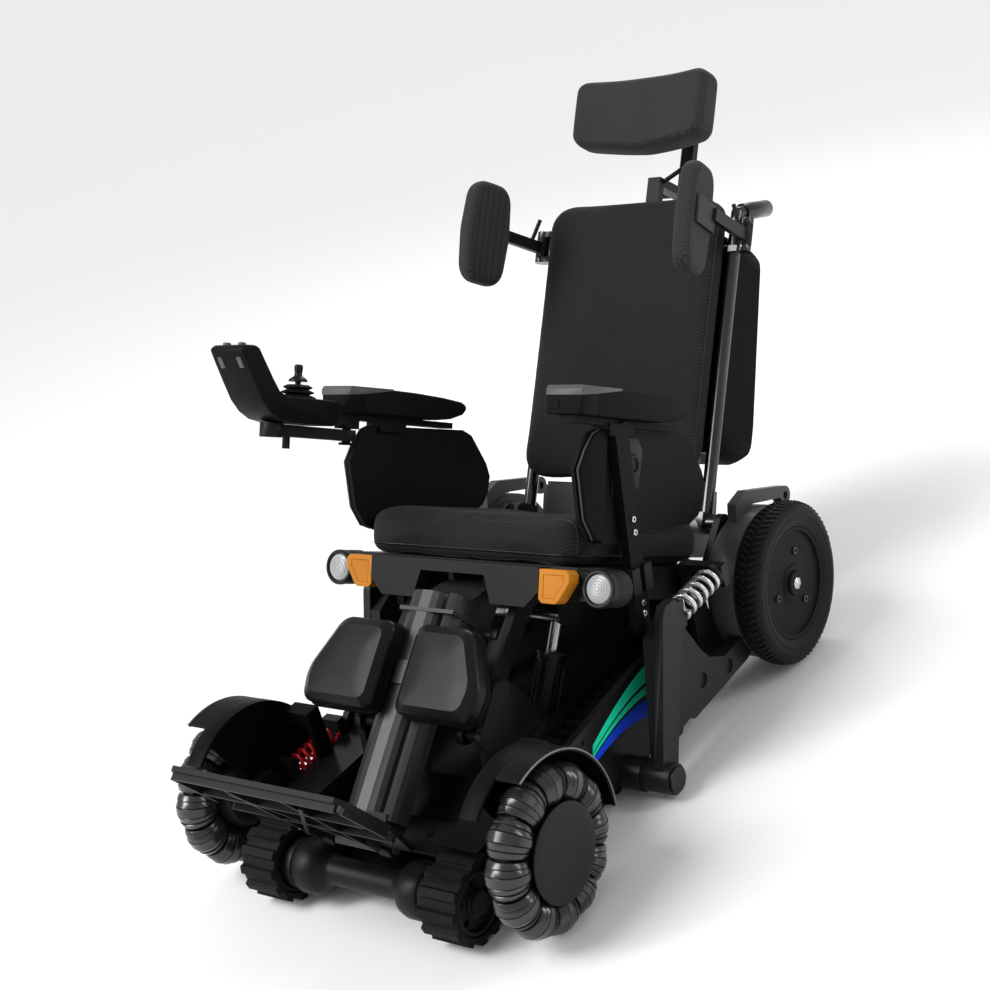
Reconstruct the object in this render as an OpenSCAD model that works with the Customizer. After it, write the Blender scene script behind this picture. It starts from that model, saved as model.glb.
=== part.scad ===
// Stair climbing wheelchair standing on its tracks, front towards -Y.
// The seat unit is drawn level and then tilted back against the chassis.

/* [Tracks and wheels] */
// Distance from the middle plane to each track's centre line
track_half = 173; // [168:1:178]
// Width of each rubber track
track_width = 66; // [56:1:68]
// Radius of the track round its end rollers, lugs included
track_radius = 60; // [58:1:63]
// Distance between the front and rear track axles
track_length = 665; // [640:1:680]
// Height of the track's rubber lugs
lug_height = 6; // [4:0.5:7]
// Thickness of the track belt under the lugs
belt_thick = 8; // [6:0.5:9]
// Radius of the front roller wheels
omni_radius = 121; // [116:1:124]
// Radius of the front wheels' roller tube
omni_tube = 31; // [28:0.5:32]
// Radius of the rear wheels
rear_radius = 133; // [126:1:138]
// Width of the rear tyres
tyre_width = 46; // [38:1:48]
// Height of the wheels above the ground while the tracks carry the chair
wheel_lift = 4; // [2:0.5:8]

/* [Seat] */
// Lean of the seat unit against the chassis
seat_tilt = 29.2748; // [24:0.1:31]
// Width of the seat cushion
seat_width = 420; // [400:2:424]
// Depth of the seat cushion
seat_depth = 358; // [330:2:362]
// Thickness of the seat cushion
seat_thick = 80; // [64:1:82]
// Width of the back cushion
back_width = 344; // [320:2:346]
// Height of the back cushion
back_height = 474; // [440:2:490]
// Thickness of the back cushion
back_thick = 46; // [38:1:50]
// Backward lean of the back cushion
back_lean = 6.4; // [4:0.2:9]
// Width of the headrest
head_width = 262; // [230:2:280]
// Height of the headrest
head_height = 128; // [110:1:140]
// Length of the armrest pads
arm_length = 288; // [260:2:300]
// Width of the armrest pads
arm_width = 60; // [50:1:64]
// Height of the side supports
lateral_height = 176; // [150:2:190]

/* [Legrest] */
// Length of the legrest column
column_length = 346; // [330:1:352]
// Width of the legrest column
column_width = 100; // [90:1:106]
// Width of the footplate at its front
foot_width = 332; // [300:2:350]
// Depth of the footplate
foot_depth = 250; // [220:2:256]

/* [Hidden] */
$fn = 64;
// Running clearance between a shaft and its bore
run = 0.05;
// Sliding clearance between flat faces of moving pieces
slip = 0.4;
// Shift that puts the origin under the middle of the whole chair
mid_y = 521.05;
// Track axles
front_y = -45;
axle_z = track_radius;
rear_y = front_y + track_length;
belt_out = track_radius - lug_height;
belt_in = belt_out - belt_thick;
track_in = track_half - track_width/2;
track_out = track_half + track_width/2;
drum_r = belt_in - 0.5;
shaft_r = 12;
// Chassis side rails and the towers that carry the seat
rail_in = 124;
rail_out = 136;
tower_in = 112;
bed_z = 22;
// Front roller wheels
omni_x = 300;
omni_y = 17;
omni_z = omni_radius + wheel_lift;
omni_ring = omni_radius - omni_tube;
arm_y = 178;
arm_z = 48;
axle_r = 14;
// Rear wheels on their swing arms
swing_y = 313;
swing_z = 33;
hub_y = 717;
hub_z = rear_radius + wheel_lift;
tyre_x = 288;
drum_big = 124;
// Seat hinge on the chassis and the same point in the level seat
pv = [203.4, 229.9];
sv = [65, 300];
// Top of the seat pan and front edge of the seat
pan_z = 490;
seat_y0 = 112;
// Legrest hinge in the level seat, and the offset of its parallel link
leg_h = [seat_y0 + 23, pan_z - 50];
link_d = [-28, -62];
// Tilt actuators: lower pin on the chassis, upper pin in the level seat
act_x = 84;
act_b = [280, 75];
act_p = [250, 408];
pin_play = 2.8;
// Seat heights
rail_x = seat_width/2 + 5;
seat_y1 = seat_y0 + 366;
back_y = 468;
back_z = pan_z + 140;
recline = [500, pan_z + 70];
cane_x = back_width/2 + 10;
arm_x = 222;
post_foot = [258, pan_z - 90];
post_lean = 16.4;
guard_x = 216;
ctl_x = -222;
col_top = leg_h + [-65, -7];
col_lean = 22;
foot_hinge = col_top + turn([0, -column_length], -col_lean) + [-29, -25.5];
foot_rise = 25;

function turn(p, a) = [p[0]*cos(a) - p[1]*sin(a), p[0]*sin(a) + p[1]*cos(a)];
function to_chassis(p) = pv + turn(p - sv, -seat_tilt);
link_c = to_chassis(sv + link_d);
act_top = to_chassis(act_p);
act_len = norm(act_top - act_b);
act_ang = atan2(act_top[1] - act_b[1], act_top[0] - act_b[0]);

module yz(x0, x1) translate([x0, 0, 0]) rotate([90, 0, 90]) linear_extrude(x1 - x0) children();
module xrod(x0, x1, r, p) translate([x0, p[0], p[1]]) rotate([0, 90, 0]) cylinder(r = r, h = x1 - x0);
module pair() {
  children();
  mirror([1, 0, 0]) children();
}
module side(s) mirror([s < 0 ? 1 : 0, 0, 0]) children();
module on_chassis() translate([0, -mid_y, 0]) children();
module on_seat() translate([0, pv[0] - mid_y, pv[1]]) rotate([-seat_tilt, 0, 0])
  translate([0, -sv[0], -sv[1]]) children();
module on_back() on_seat() translate([0, back_y, back_z]) rotate([-back_lean, 0, 0]) children();
module on_column() on_seat() translate([0, col_top[0], col_top[1]]) rotate([-col_lean, 0, 0]) children();
// The armrests and the controller are drawn over a seat pan at this height
arm_pan = 490;
module on_arm() on_seat() translate([0, 0, pan_z - arm_pan]) children();
module on_post() on_seat() translate([0, post_foot[0], post_foot[1]]) rotate([post_lean, 0, 0]) children();
module on_foot() on_seat() translate([0, foot_hinge[0], foot_hinge[1]]) rotate([-foot_rise, 0,
  0]) children();
module rbox(x, y, z, r) linear_extrude(z) {
  translate([-x/2 + r, -y/2]) square([x - 2*r, y]);
  translate([-x/2, -y/2 + r]) square([x, y - 2*r]);
  for (i = [-1, 1], j = [-1, 1]) translate([i*(x/2 - r), j*(y/2 - r)]) circle(r);
}

// Soft form: a grid over the top, drawn-in sides and a flat underside
function soft_u(t) = 0.6*t + 0.4*sin(90*t);
function soft_x(kind, u, v, w) =
  kind == "calf" ? let(o = lookup(v, [[-1, 0.84], [-0.6, 1], [-0.2, 1], [1, 0.7]])) w*(o*(u + 1)/2 - 0.5) :
  kind == "lateral" ? w/2*u*lookup(v, [[-1, 0.55], [-0.72, 0.9], [0, 1], [0.72, 0.86], [1, 0.5]]) :
  kind == "head" ? w/2*u*lookup(v, [[-1, 0.8], [-0.5, 0.97], [0, 1], [1, 0.88]]) : w/2*u;
function groove(v, c, s) = exp(-pow((v - c)/s, 2));
function soft_h(kind, u, v) =
  let(f = pow(1 - pow(abs(u), 6), 0.45)*pow(1 - pow(abs(v), 6), 0.45))
  kind == "seat" ? f*(0.86 + 0.16*pow(abs(u), 2.5) + 0.07*v - 0.06*groove(u, 0, 0.45)
    - 0.05*(groove(v, -0.62, 0.09) + groove(v, 0.62, 0.09))) :
  kind == "back" ? f*(0.8 + 0.2*pow(abs(u), 3) + 0.06*groove(v, -0.45, 0.3)
    - 0.07*(groove(v, -0.72, 0.07) + groove(v, 0, 0.07) + groove(v, 0.6, 0.07))) :
  kind == "arm" ? f*(0.9 + 0.1*cos(100*v)) : f;
function soft_ring(nx, ny) = concat([for (i = [0:nx]) i], [for (j = [1:ny]) j*(nx + 1) + nx],
  [for (i = [nx - 1:-1:0]) ny*(nx + 1) + i], [for (j = [ny - 1:-1:1]) j*(nx + 1)]);
module soft(kind, w, d, h, nx, ny, k, e, bend = 0) {
  top = [for (j = [0:ny], i = [0:nx])
    let(u = soft_u(-1 + 2*i/nx), v = soft_u(-1 + 2*j/ny), x = soft_x(kind, u*sqrt(1 - k*v*v/2), v, w),
      y = d/2*v*sqrt(1 - k*u*u/2)) [x, y, h*(e + (1 - e)*soft_h(kind, u, v))]];
  ring = soft_ring(nx, ny);
  n = len(ring);
  m = len(top);
  levels = [[1.012, 0.72], [1, 0.34], [0.965, 0]];
  cx = kind == "calf" ? -0.06*w : 0;
  low = [for (l = levels, q = ring) let(p = top[q])
    [cx + (p[0] - cx)*l[0], p[1]*l[0], p[2]*l[1]]];
  raw = concat(top, low, [[cx, 0, 0]]);
  pts = [for (p = raw) [p[0], p[1], p[2] + bend*p[0]*p[0]]];
  grid = [for (j = [0:ny - 1], i = [0:nx - 1]) let(a = j*(nx + 1) + i, b = a + nx + 1)
    (i + j) % 2 == 0 ? [[a, b, b + 1], [a, b + 1, a + 1]] : [[a, b, a + 1], [b, b + 1, a + 1]]];
  wall = [for (l = [0:2], q = [0:n - 1]) let(r = (q + 1) % n,
    a = l == 0 ? ring[q] : m + (l - 1)*n + q, b = l == 0 ? ring[r] : m + (l - 1)*n + r,
    c = m + l*n + q, f = m + l*n + r) [[a, b, f], [a, f, c]]];
  base = [for (q = [0:n - 1]) [m + 2*n + q, m + 2*n + (q + 1) % n, m + 3*n]];
  polyhedron(pts, concat([for (g = grid) each g], [for (g = wall) each g], base));
}

// Wound spring along +Z: one tube with 8 rings to a curl and straight ends
function coil_path(R, r, curls, l) =
  let(q = 2.2*r, a1 = q/R*180/PI, z1 = 2*r + q, n = 8*curls, p = (l - 2*z1)/n)
  concat([[0, 0], [0, 2*r]],
    [for (a = [30, 60]) [q*(1 - cos(a))/R*180/PI, 2*r + q*sin(a)]],
    [for (i = [0:n]) [a1 + 45*i, z1 + p*i]],
    [for (a = [30, 60]) [a1 + 360*curls + q*sin(a)/R*180/PI, l - z1 + q*(1 - cos(a))]],
    [[2*a1 + 360*curls, l - 2*r], [2*a1 + 360*curls, l]]);
function on_drum(R, s) = [R*cos(s[0]), R*sin(s[0]), s[1]];
function unit(v) = v/norm(v);
function least_gap(p, r) = min([for (i = [0:len(p) - 8], j = [i + 7:len(p) - 1]) norm(p[i] - p[j])]) - 2*r;
module coil(R, r, curls, l) {
  s = coil_path(R, r, curls, l);
  p = [for (q = s) on_drum(R, q)];
  n = len(p);
  pts = [for (i = [0:n - 1])
    let(t = unit(i == 0 || i == n - 1 ? [0, 0, 1] : p[i + 1] - p[i - 1]),
      o = [cos(s[i][0]), sin(s[i][0]), 0], b = unit(cross(t, o)), c = cross(b, t))
    for (k = [0:5]) p[i] + r*(cos(60*k)*c + sin(60*k)*b)];
  skin = [for (i = [0:n - 2], k = [0:5]) let(a = 6*i + k, b = 6*i + (k + 1) % 6)
    [[a, b + 6, b], [a, a + 6, b + 6]]];
  ends = [for (k = [1:4]) [[0, k, k + 1], [6*n - 6, 6*n - 6 + k + 1, 6*n - 6 + k]]];
  echo("least gap between curls, mm", least_gap(p, r));
  polyhedron(pts, concat([for (g = skin) each g], [for (g = ends) each g]));
}

// Chassis values shared by several pieces
cowl_top = [[4, 86], [70, 88], [135, 122], [205, 146], [262, 150]];
cowl_low = [for (p = cowl_top) p - [0, 6]];
cover_in = track_out + 4;
cover_out = cover_in + 12;
roll_in = track_in + 4;
roll_out = track_out - 3;
slide_z = lug_height + belt_thick + 0.6;
spring_x = 229;
spring_z = 134;
shock_x = 286;
shock_y = [448, 556];
shock_z = 240;
guard_in = omni_radius + 14;
guard_side = 248;
guard_lip = 30;

module axle_ends(p) {
  xrod(rail_out, roll_in - 0.5, 20, p);
  xrod(rail_out - 1, track_out, shaft_r, p);
  xrod(roll_out + 0.5, track_out + 0.5, 18, p);
}

module chassis_frame() color("#26272a") on_chassis() {
  pair() difference() {
    union() {
      yz(rail_in, rail_out) {
        translate([front_y, axle_z]) circle(38);
        polygon(concat([[front_y, bed_z], [rear_y + 50, bed_z], [rear_y + 50, 134], [262, 134]],
          [for (i = [4:-1:0]) cowl_low[i]], [[front_y, axle_z + 37]]));
      }
      yz(tower_in, rail_in) {
        polygon([[120, 60], [300, 60], [300, 118], [224, 240], [190, 250], [link_c[0] - 15, link_c[1] + 10],
          [link_c[0] - 15, link_c[1] - 14], [130, 150]]);
        translate(pv) circle(22);
        translate(link_c) circle(18);
      }
      translate([rail_out - 1, front_y + drum_r + 10, slide_z])
        cube([13, track_length - 2*drum_r - 20, 2*(axle_z - slide_z)]);
      for (z = [slide_z, 2*axle_z - slide_z - 22]) translate([rail_out, front_y + drum_r + 10, z])
        cube([track_width - 6, track_length - 2*drum_r - 20, 22]);
      axle_ends([front_y, axle_z]);
      axle_ends([rear_y, axle_z]);
      xrod(88, tower_in + 1, 12, pv);
      xrod(70, tower_in + 1, 9, link_c);
    }
    xrod(tower_in - 1, rail_in - 2, 10 + run, act_b);
  }
  translate([-rail_in, 10, bed_z]) cube([2*rail_in, rear_y + 30, 8]);
  translate([0, front_y, axle_z]) rotate([0, 90, 0]) rotate_extrude()
    polygon([[0, -rail_in], [34, -rail_in], [40, -120], [42, -112], [42, -94], [38, -82], [28, -72], [23,
      -66],
      [22, -58], [22, 58], [23, 66], [28, 72], [38, 82], [42, 94], [42, 112], [40, 120], [34, rail_in],
      [0, rail_in]]);
  translate([-rail_in, rear_y + 38, 60]) cube([2*rail_in, 12, 60]);
}

module front_cowl() color("#1d1e21") on_chassis() {
  yz(-111, 111) polygon(concat(cowl_top, [for (i = [4:-1:0]) cowl_low[i]]));
  pair() {
    yz(111, rail_out - 1) polygon([[4, 86], [70, 88], [100, 103.7], [100, 97.7], [70, 82], [4, 80]]);
    yz(rail_out, 139) polygon([[4, 106], [4, 131], [245, 131], [245, 106]]);
    yz(rail_out, track_out + 2) polygon([[-20, 2*axle_z + 5], [245, 2*axle_z + 5], [245, 2*axle_z + 11],
      [-24, 2*axle_z + 11]]);
    yz(100, 107) polygon([[135, 122], [205, 146], [262, 150], [262, 154], [203, 150], [138, 128]]);
  }
  for (p = [[-60, 40, 83], [60, 40, 83]]) translate(p) cylinder(r = 6, h = 6);
}

module side_cover(s) color("#202124") on_chassis() side(s) {
  difference() {
    union() {
      yz(cover_in, cover_out) polygon([[158, 40], [192, 26], [632, 26], [654, 46], [654, 110], [636, 128],
        [600, 148], [560, 166], [403, 166], [200, 154], [186, 140], [186, 68], [158, 66]]);
      yz(cover_out - 1, 229) polygon([[548, 106], [592, 106], [588, 140], [552, 140]]);
      yz(228, 240) polygon([[540, 100], [600, 100], [574, 256], [554, 256]]);
      xrod(cover_out - 1, 258, 26, [swing_y, swing_z]);
      xrod(cover_out - 1, 312, 12, [swing_y, swing_z]);
      xrod(308.4, 312, 20, [swing_y, swing_z]);
      xrod(cover_out - 1, 246, 10, [arm_y, arm_z]);
      translate([212, 172, 70]) cube([35, 16, spring_z - 48]);
      translate([228, shock_y[1], 220]) cube([78, 16, 36]);
      for (y = [front_y + 305, rear_y - 140]) xrod(rail_out + 12, cover_in + 1, 9, [y, axle_z + 2]);
    }
    for (p = [[230, 140], [420, 148], [600, 140], [600, 50], [430, 44]]) xrod(cover_out - 2,
      cover_out + 1, 5, p);
  }
}

module battery_pack() color("#3a3d42") on_chassis() {
  y0 = 367;
  y1 = rear_y + 33;
  translate([0, (y0 + y1)/2, bed_z + 8]) rbox(2*tower_in - 8, y1 - y0, 84, 12);
  for (x = [-60, 60]) translate([x, y0 + 53, bed_z + 92]) cylinder(r = 9, h = 6);
}

module lug() polygon([[-8, -1], [8, -1], [6, lug_height], [-6, lug_height]]);
module stadium(r) {
  translate([front_y, axle_z]) circle(r);
  translate([rear_y, axle_z]) circle(r);
  translate([front_y, axle_z - r]) square([track_length, 2*r]);
}
module track_belt(s) color("#1b1b1c") on_chassis() side(s) yz(track_in, track_out) {
  difference() {
    stadium(belt_out);
    stadium(belt_in);
  }
  n = round(track_length/28);
  for (i = [0:n - 1]) translate([front_y + (i + 0.5)*track_length/n, 0]) {
    translate([0, axle_z - belt_out]) rotate(180) lug();
    translate([0, axle_z + belt_out]) lug();
  }
  for (i = [0:5]) {
    translate([front_y, axle_z]) rotate(15 + 30*i) translate([0, belt_out]) lug();
    translate([rear_y, axle_z]) rotate(195 + 30*i) translate([0, belt_out]) lug();
  }
}

module track_roller(s, y, n) color("#34363a") on_chassis() side(s) difference() {
  xrod(roll_in, roll_out, drum_r, [y, axle_z]);
  xrod(roll_in - 1, roll_out + 1, shaft_r + run, [y, axle_z]);
  for (x = [roll_in - 1, roll_out - 9]) difference() {
    xrod(x, x + 10, drum_r - 6, [y, axle_z]);
    xrod(x - 1, x + 11, shaft_r + 8, [y, axle_z]);
  }
  for (i = [0:n - 1]) xrod(roll_in, roll_out, 6, [y, axle_z] + turn([29, 0], 360/n*i));
}

module fender(s) color("#1d1e21") on_chassis() side(s) {
  yz(guard_side, guard_side + 5) translate([omni_y, omni_z]) intersection() {
    difference() {
      circle(guard_in + 5);
      circle(38);
    }
    polygon(concat([[0, 0]], [for (a = [-4:30:116]) 300*[cos(a), sin(a)]]));
  }
  yz(guard_side, guard_side + guard_lip) translate([omni_y, omni_z]) intersection() {
    difference() {
      circle(guard_in + 5);
      circle(guard_in);
    }
    polygon(concat([[0, 0]], [for (a = [-10:35:130]) 300*[cos(a), sin(a)]]));
  }
  translate([198, 108, 190]) cube([guard_side - 198, 28, 22]);
  translate([198, 108, 2*axle_z + 11]) cube([10, 28, 212 - 2*axle_z - 11]);
}

module front_arm(s) color("#2c2d30") on_chassis() side(s) {
  difference() {
    union() {
      yz(226, 244) {
        polygon([[178, 32], [178, 64], [72, 66], [72, 112], [58, 120], [40, 150], [-10, 150], [-14, 96],
          [54, 36]]);
        translate([omni_y, omni_z]) circle(34);
        translate([arm_y, arm_z]) circle(16);
      }
      translate([212, 60, 70]) cube([32, 12, spring_z - 48]);
    }
    xrod(225, 245, 10 + run, [arm_y, arm_z]);
  }
  xrod(243, 320, axle_r, [omni_y, omni_z]);
}

module front_spring(s) color("#c81e2b") on_chassis() side(s)
  translate([spring_x, 72, spring_z]) rotate([-90, 0, 0]) coil(13.5, 3, 6, 100);

fin = 5;
module omni_hub(s) color("#303236") on_chassis() side(s) translate([0, omni_y, omni_z]) difference() {
  union() {
    xrod(262, 325.2, omni_ring - omni_tube - 4, [0, 0]);
    xrod(325.2, 330, 70, [0, 0]);
    for (i = [0:11]) rotate([30*i, 0, 0]) translate([omni_x - 12, -fin/2, omni_ring - omni_tube - 8])
      cube([24, fin, omni_tube + 26]);
  }
  xrod(261, 321, axle_r + run, [0, 0]);
}

module omni_rollers(s) color("#2a2b2d") on_chassis() side(s) translate([omni_x, omni_y,
  omni_z]) difference() {
  rotate([0, 90, 0]) rotate_extrude() translate([omni_ring, 0]) circle(omni_tube);
  for (i = [0:11]) rotate([30*i, 0, 0]) translate([-50, -fin/2, 0]) cube([100, fin, 200]);
}

module swing_arm(s) color("#26272a") on_chassis() side(s) difference() {
  union() {
    yz(283, 298) polygon([[swing_y - 17, swing_z + 11], [swing_y + 17, swing_z - 11], [440, 236], [444, 256],
      [430, 272], [406, 274], [394, 262]]);
    xrod(258.4, 308, 24, [swing_y, swing_z]);
    yz(262, 284) polygon([[swing_y, swing_z - 12], [350, 62], [388, 62], [394, 70], [420, 70], [426, 62],
      [600, 62], [640, 74], [640, 112], [600, 104], [540, 104], [502, 126], [484, 150], [471, 178],
      [458, 205], [430, 250], [380, 230]]);
    translate([276, 420, 218]) cube([22, shock_y[0] - 420, 44]);
  }
  xrod(257, 309, 12 + run, [swing_y, swing_z]);
  xrod(261, 285, drum_big, [hub_y, hub_z]);
  for (p = [[470, 104], [545, 83]]) xrod(280, 285, 12, p);
}

module wheel_motor(s) color("#2e3034") on_chassis() side(s) {
  xrod(243, 285, drum_big, [hub_y, hub_z]);
  xrod(228, 244, drum_big - 15, [hub_y, hub_z]);
  xrod(284, 324, axle_r, [hub_y, hub_z]);
  yz(246, 262) difference() {
    union() {
      polygon([[686, 244], [738, 244], [748, 262], [846, 223], [854, 240], [738, 291], [700, 286]]);
      translate([850, 224]) circle(16);
    }
    translate([850, 224]) circle(7);
  }
}

module rear_wheel(s) color("#4a4d52") on_chassis() side(s) translate([0, hub_y, hub_z]) difference() {
  union() {
    xrod(tyre_x + 6, tyre_x + tyre_width - 6, rear_radius - 41, [0, 0]);
    xrod(tyre_x + 6, tyre_x + tyre_width - 4, 26, [0, 0]);
    for (i = [0:2]) xrod(tyre_x + 10, tyre_x + tyre_width - 8, 6, turn([52, 0], 120*i + 30));
  }
  difference() {
    xrod(tyre_x + tyre_width - 12, tyre_x + tyre_width - 5, rear_radius - 48, [0, 0]);
    xrod(tyre_x + tyre_width - 13, tyre_x + tyre_width - 4, 26, [0, 0]);
    for (i = [0:2]) xrod(tyre_x + tyre_width - 13, tyre_x + tyre_width - 4, 6, turn([52, 0], 120*i + 30));
  }
  xrod(tyre_x + 5, 325, axle_r + run, [0, 0]);
}

module rear_tyre(s) color("#19191a") on_chassis() side(s) translate([tyre_x + tyre_width/2, hub_y, hub_z])
  rotate([0, 90, 0]) rotate_extrude() {
    w = tyre_width/46;
    r = rear_radius;
    polygon([for (p = [[-41, -17], [-28, -23], [-14, -23], [-5, -18], [0, -11], [-2.5, -10], [-2.5,
      -7.5], [0, -6.5],
      [0, 6.5], [-2.5, 7.5], [-2.5, 10], [0, 11], [-5, 18], [-14, 23], [-28, 23], [-41, 17]]) [r + p[0],
        w*p[1]]]);
  }

module rear_spring(s) color("#c9ccd0") on_chassis() side(s) translate([shock_x, shock_y[0], shock_z])
  rotate([-90, 0, 0]) coil(17, 3.6, 6, shock_y[1] - shock_y[0]);

module seat_frame() color("#232427") {
  on_seat() {
    pair() difference() {
      union() {
        translate([rail_x - 20, seat_y0, pan_z - 50]) cube([20, seat_y1 - seat_y0, 39]);
        yz(92, 108) {
          polygon([[sv[0] - 20, sv[1]], [sv[0] + 17, sv[1] - 10], leg_h + [17, -14], leg_h + [55, 0],
            leg_h + [55, 39],
            [seat_y0 + 6, pan_z - 11], [seat_y0 + 6, leg_h[1] - 8]]);
          translate(sv) circle(20);
          translate(leg_h) circle(18);
        }
        yz(100, 110) polygon([act_p + [-18, -12], act_p + [18, -12], [act_p[0] + 46, pan_z - 11],
          [act_p[0] - 46, pan_z - 11]]);
        yz(rail_x - 1, rail_x + 11) {
          polygon([[seat_y1 - 48, pan_z - 45], [seat_y1, pan_z - 45], recline + [16, -4], recline + [-14,
            8],
            [seat_y1 - 32, pan_z - 12]]);
          translate(recline) circle(16);
        }
      }
      xrod(91, 109, 12 + run, sv);
      xrod(91, 109, 10 + run, leg_h);
      xrod(rail_x - 2, rail_x + 12, 10 + run, recline);
    }
    xrod(-110, 110, 8, act_p);
    translate([-rail_x, seat_y0, pan_z - 12]) cube([2*rail_x, seat_y1 - seat_y0, 12]);
    translate([-150, seat_y1, pan_z - 50]) cube([300, 6, 116]);
  }
  on_post() pair() difference() {
    translate([rail_x - 1, -26, 58]) cube([33, 52, 40]);
    translate([226 - slip, -17 - slip, 50]) cube([14 + 2*slip, 34 + 2*slip, 60]);
    translate([239, -6, 50]) cube([12, 12, 60]);
  }
}

lamp_x = rail_x + 40;
lamp_z = pan_z - 28;
module seat_fascia() color("#1f2023") on_seat() {
  translate([0, seat_y0, 0]) rotate([90, 0, 0]) linear_extrude(26)
    translate([0, pan_z]) polygon([[-164, -2], [164, -2], [164, -38], [140, -62], [76, -62], [62, -20],
      [-62, -20],
      [-76, -62], [-140, -62], [-164, -38]]);
  pair() {
    difference() {
      translate([lamp_x, seat_y0 - 2, lamp_z]) rotate([-90, 0, 0]) cylinder(r = 28, h = 46);
      translate([lamp_x, seat_y0 - 3, lamp_z]) rotate([-90, 0, 0]) cylinder(r = 24, h = 5);
    }
    difference() {
      translate([rail_x, seat_y0 + 2, pan_z - 48]) cube([22, 38, 42]);
      for (z = [-40:7:-19]) translate([rail_x + 2, seat_y0 + 1, pan_z + z]) cube([12, 3, 3]);
    }
  }
}

module corner_lights() color("#d98a2b") on_seat() pair() difference() {
  translate([0, seat_y0, 0]) rotate([90, 0, 0]) linear_extrude(25)
    translate([0, pan_z]) polygon([[164, -4], [212, -4], [218, -10], [218, -22], [200, -50], [194, -54],
      [170, -54],
      [164, -48]]);
  translate([0, seat_y0 - 24, pan_z]) rotate([90, 0, 0]) linear_extrude(3)
    polygon([[172, -12], [208, -12], [208, -22], [192, -46], [172, -46]]);
}

module lamp_lenses() color("#e8eaec") on_seat() pair() translate([lamp_x, seat_y0 + 2,
  lamp_z]) rotate([90, 0, 0])
  rotate_extrude()
  polygon([[0, 0], [23.9, 0], [23.9, 3], [20, 5], [13, 6.6], [6, 7.4], [0, 7.6]]);

module seat_cushion() color("#2b2c2e") on_seat() translate([0, seat_y0 + seat_depth/2, pan_z])
  soft("seat", seat_width, seat_depth, seat_thick, 16, 20, 0.16, 0.62);

module power_box() color("#9b9ea3") on_seat() translate([0, seat_y1 + 6 + 73, pan_z + 10]) {
  rbox(280, 146, 112, 20);
  translate([0, 0, 112]) rbox(268, 134, 6, 16);
}

module along(x, b, a) translate([x, b[0], b[1]]) rotate([a - 90, 0, 0]) children();
module tilt_actuator() color("#2a2b2e") on_chassis() {
  xrod(-rail_in + 3, rail_in - 3, 10, act_b);
  pair() difference() {
    union() {
      xrod(act_x - 8, act_x + 8, 18, act_b);
      along(act_x, act_b, act_ang) {
        translate([0, 0, 12]) cylinder(r = 22, h = 130);
        translate([0, 0, 138]) cylinder(r = 24, h = 12);
        translate([-40, 0, 20]) cylinder(r = 15, h = 66);
        translate([-40, -12, 24]) cube([40, 24, 18]);
      }
    }
    along(act_x, act_b, act_ang) translate([0, 0, 34]) cylinder(r = 10 + run, h = 120);
  }
}

module tilt_rods() color("#c4c7cb") on_chassis() difference() {
  union() {
    pair() along(act_x, act_b, act_ang) translate([0, 0, 38]) cylinder(r = 10, h = act_len - 38);
    xrod(-98, 98, 8 + pin_play + 4.5, act_top);
  }
  xrod(-99, 99, 8 + pin_play, act_top);
}

grip_a = [52, 456];
grip_b = [137, 487];
grip_ang = atan2(grip_b[1] - grip_a[1], grip_b[0] - grip_a[0]);
hinge_b = turn(recline - [back_y, back_z], back_lean);
lat_x = cane_x + 26;
lat_y = 40;
lat_z = 414;
module back_frame() color("#2a2b2e") on_back() {
  pair() {
    translate([cane_x, 52, -70]) cylinder(r = 11, h = 526);
    translate([cane_x - 11, hinge_b[0] - 16, -84]) cube([22, 52 - hinge_b[0] + 27, 34]);
    xrod(cane_x, rail_x + 11, 10, hinge_b);
    translate([cane_x, grip_a[0], grip_a[1]]) sphere(r = 11);
    along(cane_x, grip_a, grip_ang) {
      cylinder(r = 11, h = 90);
      translate([0, 0, 14]) cylinder(r = 14.5, h = 80);
    }
    for (z = [lat_z - 28, lat_z + 18]) {
      translate([lat_x, lat_y, z]) cylinder(r = 12, h = 10);
      translate([cane_x, lat_y - 8, z]) cube([26, 20, 10]);
    }
    translate([lat_x, lat_y, lat_z - 28]) cylinder(r = 6, h = 56);
  }
  translate([-cane_x + 22, back_thick, 30]) cube([2*cane_x - 44, 5, 410]);
  xrod(-cane_x, cane_x, 9, [59, 60]);
  difference() {
    union() {
      xrod(-cane_x, cane_x, 9, [59, 395]);
      translate([-24, 50, 372]) cube([48, 38, 50]);
    }
    translate([-12.5 - slip, 62.5 - slip, 360]) cube([25 + 2*slip, 15 + 2*slip, 80]);
  }
}

module shell_form(o) intersection() {
  yz(-165 + o, 165 - o) polygon([[68 - 20*o, 56 + o], [186 - o, 50 + o], [204 - o, 72 + o], [204 - o, 120],
    [172 - o, 404 - o], [152 - o, 426 - o], [68 - 20*o, 428 - o]]);
  translate([0, 260, 240]) rotate([90, 0, 0]) rbox(330 - 2*o, 384 - 2*o, 300, 44 - o);
}
module back_shell() color("#202124") on_back() difference() {
  shell_form(0);
  shell_form(5);
  translate([-40, 60, 380]) cube([80, 50, 60]);
}

module back_cushion() color("#2d2e30") on_back() translate([0, back_thick, back_height/2]) rotate([90, 0,
  0])
  soft("back", back_width, back_height, back_thick, 14, 26, 0.14, 0.6);

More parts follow.
